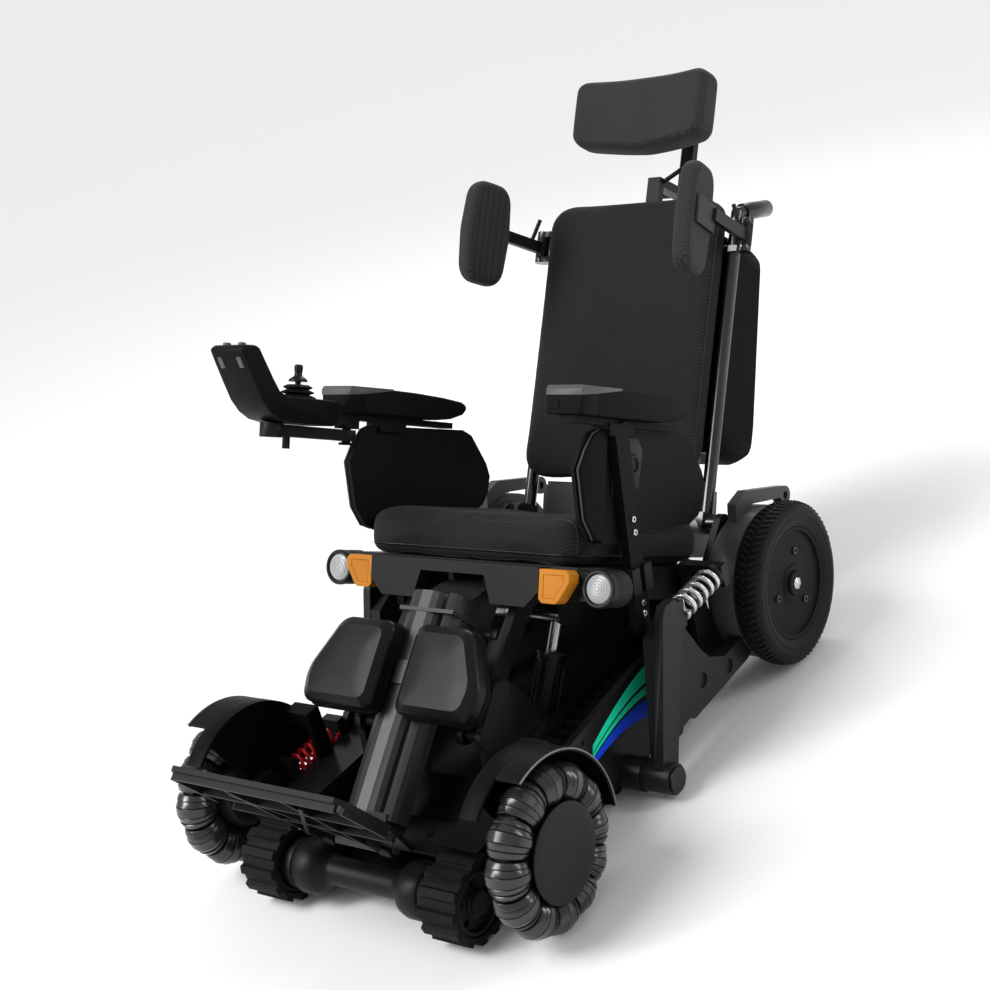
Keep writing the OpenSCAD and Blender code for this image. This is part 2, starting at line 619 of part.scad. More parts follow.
head_z = 632;
head_thick = 58;
module headrest_stem() color("#2a2b2e") on_back() {
  translate([-12.5, 62.5, 330]) cube([25, 15, 205]);
  translate([-12.5, 62.5, 520]) cube([25, 110, 15]);
  translate([-12.5, 157.5, 520]) cube([25, 15, 122]);
  translate([-12.5, 84, 627]) cube([25, 80, 15]);
  translate([0, head_thick + 16, head_z]) sphere(r = 15.4);
  translate([0, head_thick + 22, head_z]) rotate([-90, 0, 0]) cylinder(r = 9, h = 12);
  translate([10, 75, 528]) rotate([0, 60, 0]) cylinder(r = 4, h = 44);
  translate([-30, 140, 527]) rotate([0, 90, 0]) cylinder(r = 7, h = 20);
}

module headrest_pad() color("#303133") on_back() translate([0, head_thick, head_z]) rotate([90, 0, 0])
  soft("head", head_width, head_height, head_thick, 16, 8, 0.22, 0.5, 0.0021);

module pad_frame() translate([210, -125, 397]) rotate([0, 0, 10.6]) children();
module lateral_arm(s) color("#2a2b2e") on_back() side(s) {
  difference() {
    union() {
      translate([lat_x, lat_y, lat_z - 17.6]) cylinder(r = 12, h = 35.2);
      translate([0, 0, lat_z - 12]) linear_extrude(20)
        polygon([[lat_x - 6, lat_y], [lat_x + 6, lat_y], [230, -90], [220, -90]]);
      pad_frame() translate([16, -34, -14]) cube([6, 72, 44]);
      translate([lat_x + 4, 10, lat_z + 6]) rotate([0, -20, 0]) cylinder(r = 3.5, h = 40);
    }
    translate([lat_x, lat_y, lat_z - 30]) cylinder(r = 6 + run, h = 60);
  }
}

module lateral_pad(s) color("#303133") on_back() side(s) pad_frame() translate([16, 0, 0]) rotate([90, 0,
  -90])
  soft("lateral", 98, lateral_height, 32, 8, 10, 0.3, 0.5);

arm_y0 = 52;
arm_base = 708;
module arm_side(s) color("#242528") {
  side(s) on_post() {
    translate([226, -17, 8]) cube([14, 34, 308]);
    translate([226, 0, 8]) rotate([0, 90, 0]) cylinder(r = 17, h = 14);
    for (z = [24, 40, 150, 170]) translate([240, 0, z]) rotate([0, 90, 0]) cylinder(r = 4, h = 3);
  }
  on_arm() side(s) {
    yz(guard_x, guard_x + 6) polygon([[81, 632], [96, 662], [114, 686], [130, 692], [360, 698], [384,
      690], [428, 644],
      [440, 622], [436, 592], [424, 572], [400, 558], [270, 546], [190, 526], [150, 524], [124, 532],
      [100, 560]]);
    for (p = [[211, 560], [188, 640]]) xrod(guard_x + 5, 227, 9, p);
    translate([208, 142, 684]) cube([32, 62, 18]);
    translate([arm_x - 14, 60, arm_base - 10]) cube([28, arm_length - 26, 10]);
  }
  if (s < 0) on_arm() {
    translate([ctl_x - 13, 62, 684]) cube([26, 30, 15]);
    translate([ctl_x, 77, 658]) cylinder(r = 7, h = 28);
    translate([ctl_x, 77, 658]) cylinder(r = 12, h = 4);
  }
}

module arm_pad(s) color("#2b2c2e") on_arm() side(s) translate([arm_x, arm_y0 + arm_length/2, arm_base])
  soft("arm", arm_width, arm_length, 42, 6, 14, 0.08, 0.72);

joy = [-36, 714];
module swing_bar() color("#242528") on_arm() difference() {
  union() {
    translate([ctl_x - 12, -88, 664]) cube([24, 165, 18]);
    translate([ctl_x, 77, 664]) cylinder(r = 15, h = 18);
    translate([ctl_x, -88, 662]) cylinder(r = 18, h = 22);
    translate([ctl_x, -56, 646]) cylinder(r = 6, h = 20);
  }
  translate([ctl_x, 77, 660]) cylinder(r = 7 + run, h = 30);
}

module controller_case() color("#1e1f22") on_arm() {
  difference() {
    yz(ctl_x - 36, ctl_x + 36) polygon([[-188, 786], [-176, 766], [-160, 742], [-142, 714], [-126, 698],
      [-106, 688],
      [-80, 684], [12, 684], [24, 694], [26, 718], [20, 724], [-92, 724], [-106, 732], [-120, 748],
        [-152, 790],
      [-160, 794], [-180, 793]]);
    translate([ctl_x, joy[0], 698]) cylinder(r = 18, h = 30);
    xrod(ctl_x - 23, ctl_x + 23, 2 + run, joy);
    translate([ctl_x, -136, 768]) rotate([-50, 0, 0]) translate([-28, -26, -2]) cube([56, 52, 8]);
  }
  translate([ctl_x, joy[0], 724]) rotate_extrude()
    polygon([[16, 0], [28, 0], [28, 3], [18, 6], [25, 9], [25, 11], [18, 14], [22, 17], [22, 19], [16,
      21]]);
  for (x = [-16, 16]) translate([ctl_x + x, -171, 788]) cylinder(r = 5, h = 9);
}

module joystick_gimbal() color("#8a8d92") on_arm() translate([ctl_x, joy[0], joy[1]]) difference() {
  union() {
    translate([0, 0, -4]) cylinder(r = 14, h = 8);
    rotate([0, 90, 0]) translate([0, 0, -22]) cylinder(r = 2, h = 44);
  }
  translate([0, 0, -5]) cylinder(r = 9.5, h = 10);
  rotate([90, 0, 0]) translate([0, 0, -15]) cylinder(r = 2 + run, h = 30);
}

module joystick() color("#151517") on_arm() translate([ctl_x, joy[0], joy[1]]) {
  sphere(r = 7.5);
  rotate([90, 0, 0]) translate([0, 0, -13]) cylinder(r = 2, h = 26);
  rotate_extrude() polygon([[0, 0], [4.5, 4], [4.5, 36], [15, 36], [14, 39], [7, 44], [6, 48], [6.5, 56],
    [7, 60],
    [6, 62], [0, 62.5]]);
}

module leg_link() color("#34363a") on_seat() pair() yz(72, 86) difference() {
  a = sv + link_d;
  b = leg_h + link_d;
  n = 10*turn(unit(b - a), 90);
  union() {
    polygon([a + n, a - n, b - n, b + n]);
    translate(a) circle(15);
    translate(b) circle(14);
  }
  translate(a) circle(9 + run);
  translate(b) circle(8 + run);
}

module leg_column() color("#2c2d31") {
  w = column_width/2;
  on_column() {
    translate([0, 0, -column_length]) linear_extrude(column_length) polygon([[-w, -4], [2 - w, -14],
      [9 - w, -22], [20 - w, -27], [-0.36*w, -29], [0.02*w, -28], [0.22*w, -24], [0.34*w, -18],
      [0.41*w, -10], [0.45*w, -10], [0.5*w, -18], [0.6*w, -23], [0.74*w, -24.5], [0.88*w, -21], [0.97*w, -13],
      [w, -4], [w, 12], [w - 9, 23], [w - 21, 28], [21 - w, 28], [9 - w, 23], [-w, 12]]);
    translate([-144, -34, -149]) cube([288, 8, 36]);
    translate([-w - 2, -30, -34]) cube([2*w + 4, 60, 6]);
  }
  on_seat() {
    yz(2 - w, w - 2) {
      polygon([col_top + [0, -5], leg_h + [-4, 16], leg_h + [12, -8], leg_h + link_d + [9, -8],
        col_top + [-6, -73]]);
      translate(leg_h) circle(16);
      translate(leg_h + link_d) circle(14);
    }
    xrod(-108, 108, 10, leg_h);
    xrod(-88, 88, 8, leg_h + link_d);
    yz(-40, 40) translate(foot_hinge) polygon([[6, 44], [54, 22], [44, 4], [8, -12], [-12, -8], [-14, 4],
      [2, 16]]);
    xrod(-68, 68, 9, foot_hinge);
  }
}

module calf_pads() color("#2a2b2d") on_column() pair() translate([95, -34, -131]) rotate([90, 0, 0])
  soft("calf", 150, 142, 42, 8, 8, 0.2, 0.5);

module footplate() color("#232427") on_foot() difference() {
  union() {
    translate([0, 0, -4]) linear_extrude(8) polygon([[-foot_width/2 + 12, -foot_depth],
      [foot_width/2 - 12, -foot_depth],
      [foot_width/2, -foot_depth + 14], [foot_width/2, -foot_depth + 110], [112, -18], [-112, -18],
      [-foot_width/2, -foot_depth + 110], [-foot_width/2, -foot_depth + 14]]);
    pair() {
      xrod(44, 66, 15, [0, 0]);
      translate([44, -26, -10]) cube([22, 20, 14]);
      translate([52, -foot_depth + 8, -14]) cube([6, foot_depth - 30, 11]);
      translate([foot_width/2 - 8, -foot_depth + 14, -14]) cube([6, 96, 11]);
    }
    for (y = [-foot_depth + 6, -foot_depth + 70, -foot_depth + 134]) translate([-foot_width/2 + 12, y, -14])
      cube([foot_width - 24, 6, 11]);
    for (a = [-1, 1]) translate([0, -foot_depth/2, -14]) rotate(a*52) translate([-112, -3, 0]) cube([224,
      6, 11]);
  }
  xrod(-80, 80, 9 + run, [0, 0]);
  translate([-43.6, -20, -30]) cube([87.2, 60, 60]);
}

chassis_frame();
front_cowl();
side_cover(1);  // side_cover_left
side_cover(-1);  // side_cover_right
battery_pack();
track_belt(1);  // track_belt_left
track_belt(-1);  // track_belt_right
fender(1);  // fender_left
fender(-1);  // fender_right
track_roller(1, rear_y, 6);  // drive_drum_left
track_roller(-1, rear_y, 6);  // drive_drum_right
track_roller(1, front_y, 5);  // idler_left
track_roller(-1, front_y, 5);  // idler_right
front_arm(1);  // front_arm_left
front_arm(-1);  // front_arm_right
front_spring(1);  // front_spring_left
front_spring(-1);  // front_spring_right
omni_hub(1);  // omni_hub_left
omni_hub(-1);  // omni_hub_right
omni_rollers(1);  // omni_rollers_left
omni_rollers(-1);  // omni_rollers_right
swing_arm(1);  // swing_arm_left
swing_arm(-1);  // swing_arm_right
wheel_motor(1);  // wheel_motor_left
wheel_motor(-1);  // wheel_motor_right
rear_wheel(1);  // rear_wheel_left
rear_wheel(-1);  // rear_wheel_right
rear_tyre(1);  // rear_tyre_left
rear_tyre(-1);  // rear_tyre_right
rear_spring(1);  // rear_spring_left
rear_spring(-1);  // rear_spring_right
seat_frame();
seat_fascia();
corner_lights();
lamp_lenses();
seat_cushion();
power_box();
tilt_actuator();
tilt_rods();
back_frame();
back_shell();
back_cushion();
headrest_stem();
headrest_pad();
lateral_arm(1);  // lateral_arm_left
lateral_arm(-1);  // lateral_arm_right
lateral_pad(1);  // lateral_pad_left
lateral_pad(-1);  // lateral_pad_right
arm_side(1);  // arm_side_left
arm_side(-1);  // arm_side_right
arm_pad(1);  // arm_pad_left
arm_pad(-1);  // arm_pad_right
swing_bar();
controller_case();
joystick_gimbal();
joystick();
leg_link();
leg_column();
calf_pads();
footplate();
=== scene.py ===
import math
import bmesh
import bpy
from mathutils import Matrix, Vector


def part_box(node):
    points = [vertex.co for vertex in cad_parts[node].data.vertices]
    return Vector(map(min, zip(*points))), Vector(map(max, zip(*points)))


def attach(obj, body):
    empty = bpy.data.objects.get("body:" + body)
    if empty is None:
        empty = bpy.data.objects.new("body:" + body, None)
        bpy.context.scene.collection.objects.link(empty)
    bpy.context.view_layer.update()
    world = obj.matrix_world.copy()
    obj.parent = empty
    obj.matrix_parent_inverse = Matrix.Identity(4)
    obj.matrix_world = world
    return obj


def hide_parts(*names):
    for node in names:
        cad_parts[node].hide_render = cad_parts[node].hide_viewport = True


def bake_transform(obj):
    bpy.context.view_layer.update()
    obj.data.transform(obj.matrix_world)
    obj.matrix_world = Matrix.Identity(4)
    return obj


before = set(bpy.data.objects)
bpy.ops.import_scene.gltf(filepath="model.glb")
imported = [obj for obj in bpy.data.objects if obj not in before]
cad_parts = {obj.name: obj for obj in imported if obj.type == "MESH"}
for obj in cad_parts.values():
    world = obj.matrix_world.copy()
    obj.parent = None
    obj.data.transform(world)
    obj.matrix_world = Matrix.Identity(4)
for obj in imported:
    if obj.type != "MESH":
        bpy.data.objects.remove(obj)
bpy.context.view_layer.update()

# Places. The chassis stands on its tracks and the seat unit leans back against it.
# Sizes below are in millimetres: each place turns them into the row frame's metres.
mm = 0.001
seat_lean = math.radians(29.2748)
back_lean = math.radians(6.4)
hub_y, hub_z = 717, 137
wheel_low, wheel_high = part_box("rear_tyre_left")
wheel_y = (wheel_low[1] + wheel_high[1]) / 2
chassis = Matrix.Translation((0, wheel_y - hub_y * mm, 0)) @ Matrix.Scale(mm, 4)
level = chassis @ Matrix.Rotation(-seat_lean, 4, "X")
backrest = level @ Matrix.Translation((0, 468, 630)) @ Matrix.Rotation(-back_lean, 4, "X")
mirrored = Matrix.Scale(-1, 4, (1, 0, 0))
sides = (("left", Matrix.Identity(4)), ("right", mirrored))

# The camera looks at the chair from its front left, at seat height, with a short telephoto lens.
# The chair stood on stairs with its seat level, so the view is turned with the seat's lean.
eye = Vector((1658.97, -1917.37, 593.0))
aim = Vector((-0.619776, 0.784778, -0.001238))
right = Vector((0.783936, 0.619182, 0.045364))
up = Vector((-0.036367, -0.027145, 0.99897))
turn = Matrix((right, up, -aim)).transposed().to_4x4()
lens = bpy.data.cameras.new("camera")
lens.lens = 62.54
lens.sensor_width = 36
lens.clip_end = 200
camera = bpy.data.objects.new("camera", lens)
bpy.context.scene.collection.objects.link(camera)
camera.matrix_world = Matrix.Translation(level @ eye) @ Matrix.Rotation(-seat_lean, 4, "X") @ turn
bpy.context.scene.camera = camera
bpy.context.scene.view_settings.view_transform = "Standard"

# A plain pale floor under an even sky, with a broad sun from the front right and three soft strips
# that draw the bright edges on the black finishes.


def lamp(name, place, target, size, power):
    data = bpy.data.lights.new(name, "AREA")
    data.shape = "RECTANGLE"
    data.size, data.size_y = size
    data.energy = power
    obj = bpy.data.objects.new(name, data)
    bpy.context.scene.collection.objects.link(obj)
    obj.location = place
    obj.rotation_euler = (Vector(target) - Vector(place)).to_track_quat("-Z", "Y").to_euler()


lamp("front_strip", (-1.5, -2.2, 1.7), (0, -0.2, 0.4), (0.5, 1.6), 32)
lamp("left_strip", (2.3, 0.9, 1.5), (0, 0.1, 0.4), (0.4, 1.6), 20)
lamp("back_strip", (-0.6, 2.2, 2.0), (0, 0.2, 0.6), (1.8, 0.4), 26)
sun_data = bpy.data.lights.new("sun", "SUN")
sun_data.energy = 2.1
sun_data.angle = math.radians(28)
sun = bpy.data.objects.new("sun", sun_data)
bpy.context.scene.collection.objects.link(sun)
sun.rotation_euler = Vector((0.45, 0.55, -1)).to_track_quat("-Z", "Y").to_euler()

sky = bpy.data.worlds.new("sky")
bpy.context.scene.world = sky
sky.use_nodes = True
sky_light = sky.node_tree.nodes["Background"].inputs
sky_light["Color"].default_value = (1, 1, 1, 1)
sky_light["Strength"].default_value = 0.5

floor_mesh = bmesh.new()
bmesh.ops.create_grid(floor_mesh, x_segments=1, y_segments=1, size=60)
floor_data = bpy.data.meshes.new("floor")
floor_mesh.to_mesh(floor_data)
floor_mesh.free()
floor = bpy.data.objects.new("floor", floor_data)
bpy.context.scene.collection.objects.link(floor)
floor.location.z = -0.0005
pale = bpy.data.materials.new("pale_floor")
pale.use_nodes = True
pale_shader = pale.node_tree.nodes["Principled BSDF"].inputs
pale_shader["Base Color"].default_value = (0.82, 0.82, 0.82, 1)
pale_shader["Roughness"].default_value = 0.9
floor_data.materials.append(pale)

# Chassis: welded aluminium rails, floor plate and seat towers, powder coated black, with the cast
# front axle housing between the tracks. The coat is fine grained and a little worn on its edges.


def coat(name, colour, rough, grain=900, bump=0.05, metal=0.0, gloss=0.3, wear=0.25, cloud=6):
    """A moulded, cast or coated finish: cloudy colour, fine grain and lighter rubbed edges."""
    made = bpy.data.materials.new(name)
    made.use_nodes = True
    tree, link = made.node_tree.nodes, made.node_tree.links.new
    shader = tree["Principled BSDF"]
    shader.inputs["Metallic"].default_value = metal
    shader.inputs["Specular IOR Level"].default_value = gloss
    place = tree.new("ShaderNodeTexCoord")
    broad = tree.new("ShaderNodeTexNoise")
    broad.inputs["Scale"].default_value = cloud
    broad.inputs["Detail"].default_value = 4
    fine = tree.new("ShaderNodeTexNoise")
    fine.inputs["Scale"].default_value = grain
    fine.inputs["Detail"].default_value = 2
    tint = tree.new("ShaderNodeValToRGB")
    tint.color_ramp.elements[0].position = 0.3
    tint.color_ramp.elements[1].position = 0.7
    tint.color_ramp.elements[0].color = (*[c * 0.8 for c in colour], 1)
    tint.color_ramp.elements[1].color = (*[c * 1.2 for c in colour], 1)
    shape = tree.new("ShaderNodeNewGeometry")
    edge = tree.new("ShaderNodeMapRange")
    edge.inputs["From Min"].default_value = 0.53
    edge.inputs["From Max"].default_value = 0.64
    edge.inputs["To Max"].default_value = wear
    rubbed = tree.new("ShaderNodeMix")
    rubbed.data_type = "RGBA"
    rubbed.inputs["B"].default_value = (*[min(1, c * 3 + 0.02) for c in colour], 1)
    rough_range = tree.new("ShaderNodeMapRange")
    rough_range.inputs["To Min"].default_value = rough - 0.06
    rough_range.inputs["To Max"].default_value = rough + 0.08
    relief = tree.new("ShaderNodeBump")
    relief.inputs["Strength"].default_value = bump
    relief.inputs["Distance"].default_value = 0.0006
    for texture in (broad, fine):
        link(place.outputs["Object"], texture.inputs["Vector"])
    link(broad.outputs["Fac"], tint.inputs["Fac"])
    link(shape.outputs["Pointiness"], edge.inputs["Value"])
    link(edge.outputs["Result"], rubbed.inputs["Factor"])
    link(tint.outputs["Color"], rubbed.inputs["A"])
    link(rubbed.outputs["Result"], shader.inputs["Base Color"])
    link(fine.outputs["Fac"], rough_range.inputs["Value"])
    link(rough_range.outputs["Result"], shader.inputs["Roughness"])
    link(fine.outputs["Fac"], relief.inputs["Height"])
    link(relief.outputs["Normal"], shader.inputs["Normal"])
    return made


def dress(node, finish, edge=1.2):
    """Gives a CAD node its finish and a small rounded edge, without touching its mesh."""
    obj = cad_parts[node]
    obj.data.materials.clear()
    obj.data.materials.append(finish)
    if edge:
        weld = obj.modifiers.new("weld", "WELD")
        weld.merge_threshold = 0.00002
        soft = obj.modifiers.new("rounded", "BEVEL")
        soft.width = edge * mm
        soft.segments = 2
        soft.limit_method = "ANGLE"
        soft.angle_limit = math.radians(38)
        soft.harden_normals = True
    return obj


black_coat = coat("black_powder_coat", (0.006, 0.006, 0.0065), 0.42, gloss=0.16)
dark_moulding = coat("dark_moulding", (0.005, 0.005, 0.0055), 0.34, grain=1400, bump=0.03, gloss=0.18)
dress("chassis_frame", black_coat)
dress("battery_pack", coat("battery_case", (0.012, 0.0125, 0.0135), 0.5, gloss=0.15))
dress("leg_link", black_coat)

# Tracks: moulded rubber belts with square lugs, running round plastic drums on steel stubs.
belt_rubber = coat("belt_rubber", (0.006, 0.006, 0.006), 0.62, grain=500, bump=0.25, gloss=0.12, wear=0.1)
drum_plastic = coat("drum_plastic", (0.012, 0.012, 0.013), 0.45, gloss=0.15)
for name, flip in sides:
    dress(f"track_belt_{name}", belt_rubber, 1.5)
    dress(f"drive_drum_{name}", drum_plastic)
    dress(f"idler_{name}", drum_plastic)

# Front cowl: one smooth black moulding that closes the nose of the chassis, with a wing over each track.
cowl_gloss = coat("cowl_gloss", (0.004, 0.004, 0.0045), 0.2, grain=1600, bump=0.012, gloss=0.26, wear=0.15)
dress("front_cowl", cowl_gloss, 2.4)

# Wheel guards: bent sheet arches on a bracket, black, with a light grey tube along the lip's outer edge as a
# painted highlight.
guard_sheet = coat("guard_sheet", (0.003, 0.003, 0.0033), 0.5, gloss=0.06, wear=0.3)
guard_lip_highlight = coat("guard_lip_highlight", (0.16, 0.16, 0.17), 0.3, gloss=0.4, wear=0.0)
omni_x, omni_y, omni_z = 300, 17, 125
guard_radius, guard_rim, guard_first, guard_last, guard_steps = 138.4, 319, -9, 104, 48
# The lip's section: x outwards and radius round the wheel
guard_lip = ((277, 136.4), (312, 136.4), (318, 134.6), (319, 137), (312, 139.6), (277, 139.6))


def bevel(bm, geom, offset, segments, affect="EDGES", **more):
    """Rounds edges or corners of a bmesh."""
    bmesh.ops.bevel(bm, geom=geom, offset=offset, segments=segments, profile=0.5, affect=affect, material=-1,
                    **more)


def block(size, at=(0, 0, 0)):
    """A bmesh box of that size round a point."""
    bm = bmesh.new()
    bmesh.ops.create_cube(bm, size=1, matrix=Matrix.Translation(at) @ Matrix.Diagonal((*size, 1)))
    return bm


def whole(bm):
    """All of a bmesh, for the operators that want it listed."""
    return bm.verts[:] + bm.edges[:] + bm.faces[:]


def around(bm, count):
    """Repeats a bmesh evenly round the X axis."""
    bmesh.ops.spin(bm, geom=whole(bm), cent=(0, 0, 0), axis=(1, 0, 0), angle=math.tau * (count - 1) / count,
                   steps=count - 1, use_duplicate=True)


def spun(axis, degrees):
    """A turn about an axis."""
    return Matrix.Rotation(math.radians(degrees), 4, axis)


def settle(bm, name, body, finish, place, edge=35):
    """Puts a finished bmesh in its place, as a piece that rides on a body, if one is named."""
    bmesh.ops.remove_doubles(bm, verts=bm.verts, dist=0.001)
    bmesh.ops.transform(bm, matrix=place, verts=bm.verts)
    bmesh.ops.recalc_face_normals(bm, faces=bm.faces)
    mesh = bpy.data.meshes.new(name)
    bm.to_mesh(mesh)
    bm.free()
    for face in mesh.polygons:
        face.use_smooth = True
    mesh.set_sharp_from_angle(angle=math.radians(edge))
    obj = bpy.data.objects.new(name, mesh)
    bpy.context.scene.collection.objects.link(obj)
    mesh.materials.append(finish)
    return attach(obj, body) if body else obj


def turned(profile, steps=64):
    """A profile of (radius, x) points turned round the X axis."""
    bm = bmesh.new()
    points = [bm.verts.new((x, 0, r)) for r, x in profile]
    edges = [bm.edges.new(pair) for pair in zip(points, points[1:])]
    bmesh.ops.spin(bm, geom=points + edges, cent=(0, 0, 0), axis=(1, 0, 0), angle=math.tau,
                   steps=steps, use_merge=True)
    return bm


def add(bm, other, place=Matrix.Identity(4)):
    """Adds one bmesh to another, moved by a matrix."""
    bmesh.ops.transform(other, matrix=place, verts=other.verts)
    spare = bpy.data.meshes.new("spare")
    other.to_mesh(spare)
    other.free()
    bm.from_mesh(spare)
    bpy.data.meshes.remove(spare)
    return bm


def tubes(paths, radius, resolution):
    """A mesh of tubes along paths, each given as its points and whether it is closed."""
    drawn = bpy.data.curves.new("tubes", "CURVE")
    drawn.dimensions = "3D"
    drawn.bevel_depth = radius
    drawn.bevel_resolution = resolution
    drawn.use_fill_caps = True
    for points, closed in paths:
        spline = drawn.splines.new("POLY")
        spline.points.add(len(points) - 1)
        for point, co in zip(spline.points, points):
            point.co = (*co, 1)
        spline.use_cyclic_u = closed
    holder = bpy.data.objects.new("tubes", drawn)
    bpy.context.scene.collection.objects.link(holder)
    bpy.context.view_layer.update()
    mesh = bpy.data.meshes.new_from_object(holder.evaluated_get(bpy.context.evaluated_depsgraph_get()))
    bpy.data.objects.remove(holder)
    return mesh


def wire(points, radius):
    """A bmesh tube along an open path of points."""
    mesh = tubes([(points, False)], radius, 3)
    bm = bmesh.new()
    bm.from_mesh(mesh)
    bpy.data.meshes.remove(mesh)
    return bm


for name, flip in sides:
    dress(f"fender_{name}", guard_sheet, 0.9)
    dress(f"front_arm_{name}", black_coat, 2)
    sweep = guard_last - guard_first
    arc = [math.radians(guard_first + sweep * step / guard_steps) for step in range(guard_steps + 1)]
    # A thin light grey tube along the lip's outer edge: a painted highlight on the black guard.
    rim = wire([(guard_rim, omni_y + guard_radius * math.cos(a), omni_z + guard_radius * math.sin(a))
                for a in arc], 1.3)
    settle(rim, f"guard_rim_{name}", "chassis", guard_lip_highlight, chassis @ flip, 60)
    flare = bmesh.new()
    start = [flare.verts.new((x, omni_y + radius * math.cos(arc[0]), omni_z + radius * math.sin(arc[0])))
             for x, radius in guard_lip]
    bmesh.ops.spin(flare, geom=[flare.faces.new(start)], cent=(0, omni_y, omni_z), axis=(1, 0, 0),
                   steps=guard_steps, angle=arc[-1] - arc[0])
    bmesh.ops.recalc_face_normals(flare, faces=flare.faces)
    settle(flare, f"guard_flare_{name}", "chassis", guard_sheet, chassis @ flip, 40)

# Front roller wheels: a ring of rubber rollers, each a stack of turned rings on a bent spindle,
# so the wheel can slide sideways. A plain cap covers the hub.
roller_rubber = coat("roller_rubber", (0.009, 0.009, 0.0094), 0.24, grain=700, bump=0.05, gloss=0.62,
                     wear=0.5)
cap_plastic = coat("cap_plastic", (0.011, 0.011, 0.012), 0.42, grain=1200, gloss=0.16)
ring_radius, tube_radius, roller_count, fin_count = 90, 31, 12, 12
# Each ring: start and end angle round the wheel, and how far its two ends stand in from the full tube
roller_rings = ((1.0, 6.0, 5.2, 2.6), (5.9, 11.3, 3.4, 1.0), (11.2, 18.8, 0.2, 0.2), (18.7, 24.1, 1.0, 3.4),
                (24.0, 29.0, 2.6, 5.2))
for name, flip in sides:
    bm = bmesh.new()
    for first, last, drop_one, drop_two in roller_rings:
        one, two = tube_radius - drop_one, tube_radius - drop_two
        loops = ((first, one - 5), (first + 0.15, one - 0.9), (first + 0.6, one), (last - 0.6, two),
                 (last - 0.15, two - 0.9), (last, two - 5))
        ring_edges = []
        for angle, radius in loops:
            place = spun("X", angle) @ Matrix.Translation((0, 0, ring_radius)) @ spun("X", 90)
            loop = bmesh.ops.create_circle(bm, segments=28, radius=radius, matrix=place)
            ring_edges.append(list({e for v in loop["verts"] for e in v.link_edges}))
        for near, far in zip(ring_edges, ring_edges[1:]):
            bmesh.ops.bridge_loops(bm, edges=near + far)
        for end in (ring_edges[0], ring_edges[-1]):
            bmesh.ops.edgeloop_fill(bm, edges=end)
    around(bm, roller_count)
    place = chassis @ flip @ Matrix.Translation((omni_x, omni_y, omni_z))
    rollers = settle(bm, f"front_rollers_{name}", f"omni_{name[0]}", roller_rubber, place, 40)
    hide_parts(f"omni_rollers_{name}")
    hub = turned([(0, -38), (40, -38), (52, -34), (58, -24), (59, 0), (58, 18), (60, 24.8), (66, 25.4),
                  (69.2, 26.6), (70, 28), (69.4, 29.4), (67, 30), (50, 30), (0, 30)], 72)
    for count in range(fin_count):
        fin = block((22, 4.4, 48), (0, 0, 82))
        bevel(fin, fin.edges[:], 1, 2)
        add(hub, fin, spun("X", 360 / fin_count * count))
    cap = settle(hub, f"front_hub_{name}", f"omni_{name[0]}", cap_plastic, place, 30)
    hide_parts(f"omni_hub_{name}")

# Rear wheels: solid rubber tyres with a fine slanted tread on a dished plastic disc, held by a bright hub
# nut and three dark screws. The drum behind each wheel holds its motor.
tyre_rubber = coat("tyre_rubber", (0.006, 0.006, 0.0065), 0.55, grain=420, bump=0.22, gloss=0.14, wear=0.2)
disc_plastic = coat("disc_plastic", (0.007, 0.007, 0.0075), 0.5, grain=1100, bump=0.05, gloss=0.08)
dark_steel = coat("dark_steel", (0.05, 0.05, 0.052), 0.3, grain=1500, bump=0.01, metal=0.8, gloss=0.5,
                  wear=0.2)
motor_casing = coat("motor_casing", (0.05, 0.05, 0.052), 0.38, grain=1300, bump=0.03, gloss=0.25)
bright_steel = coat("bright_steel", (0.55, 0.56, 0.58), 0.22, grain=400, bump=0.04, metal=1.0, gloss=0.5,
                    wear=0.1)
wheel_middle, tread_count, tread_radius, screw_circle = 311, 72, 129.3, 52
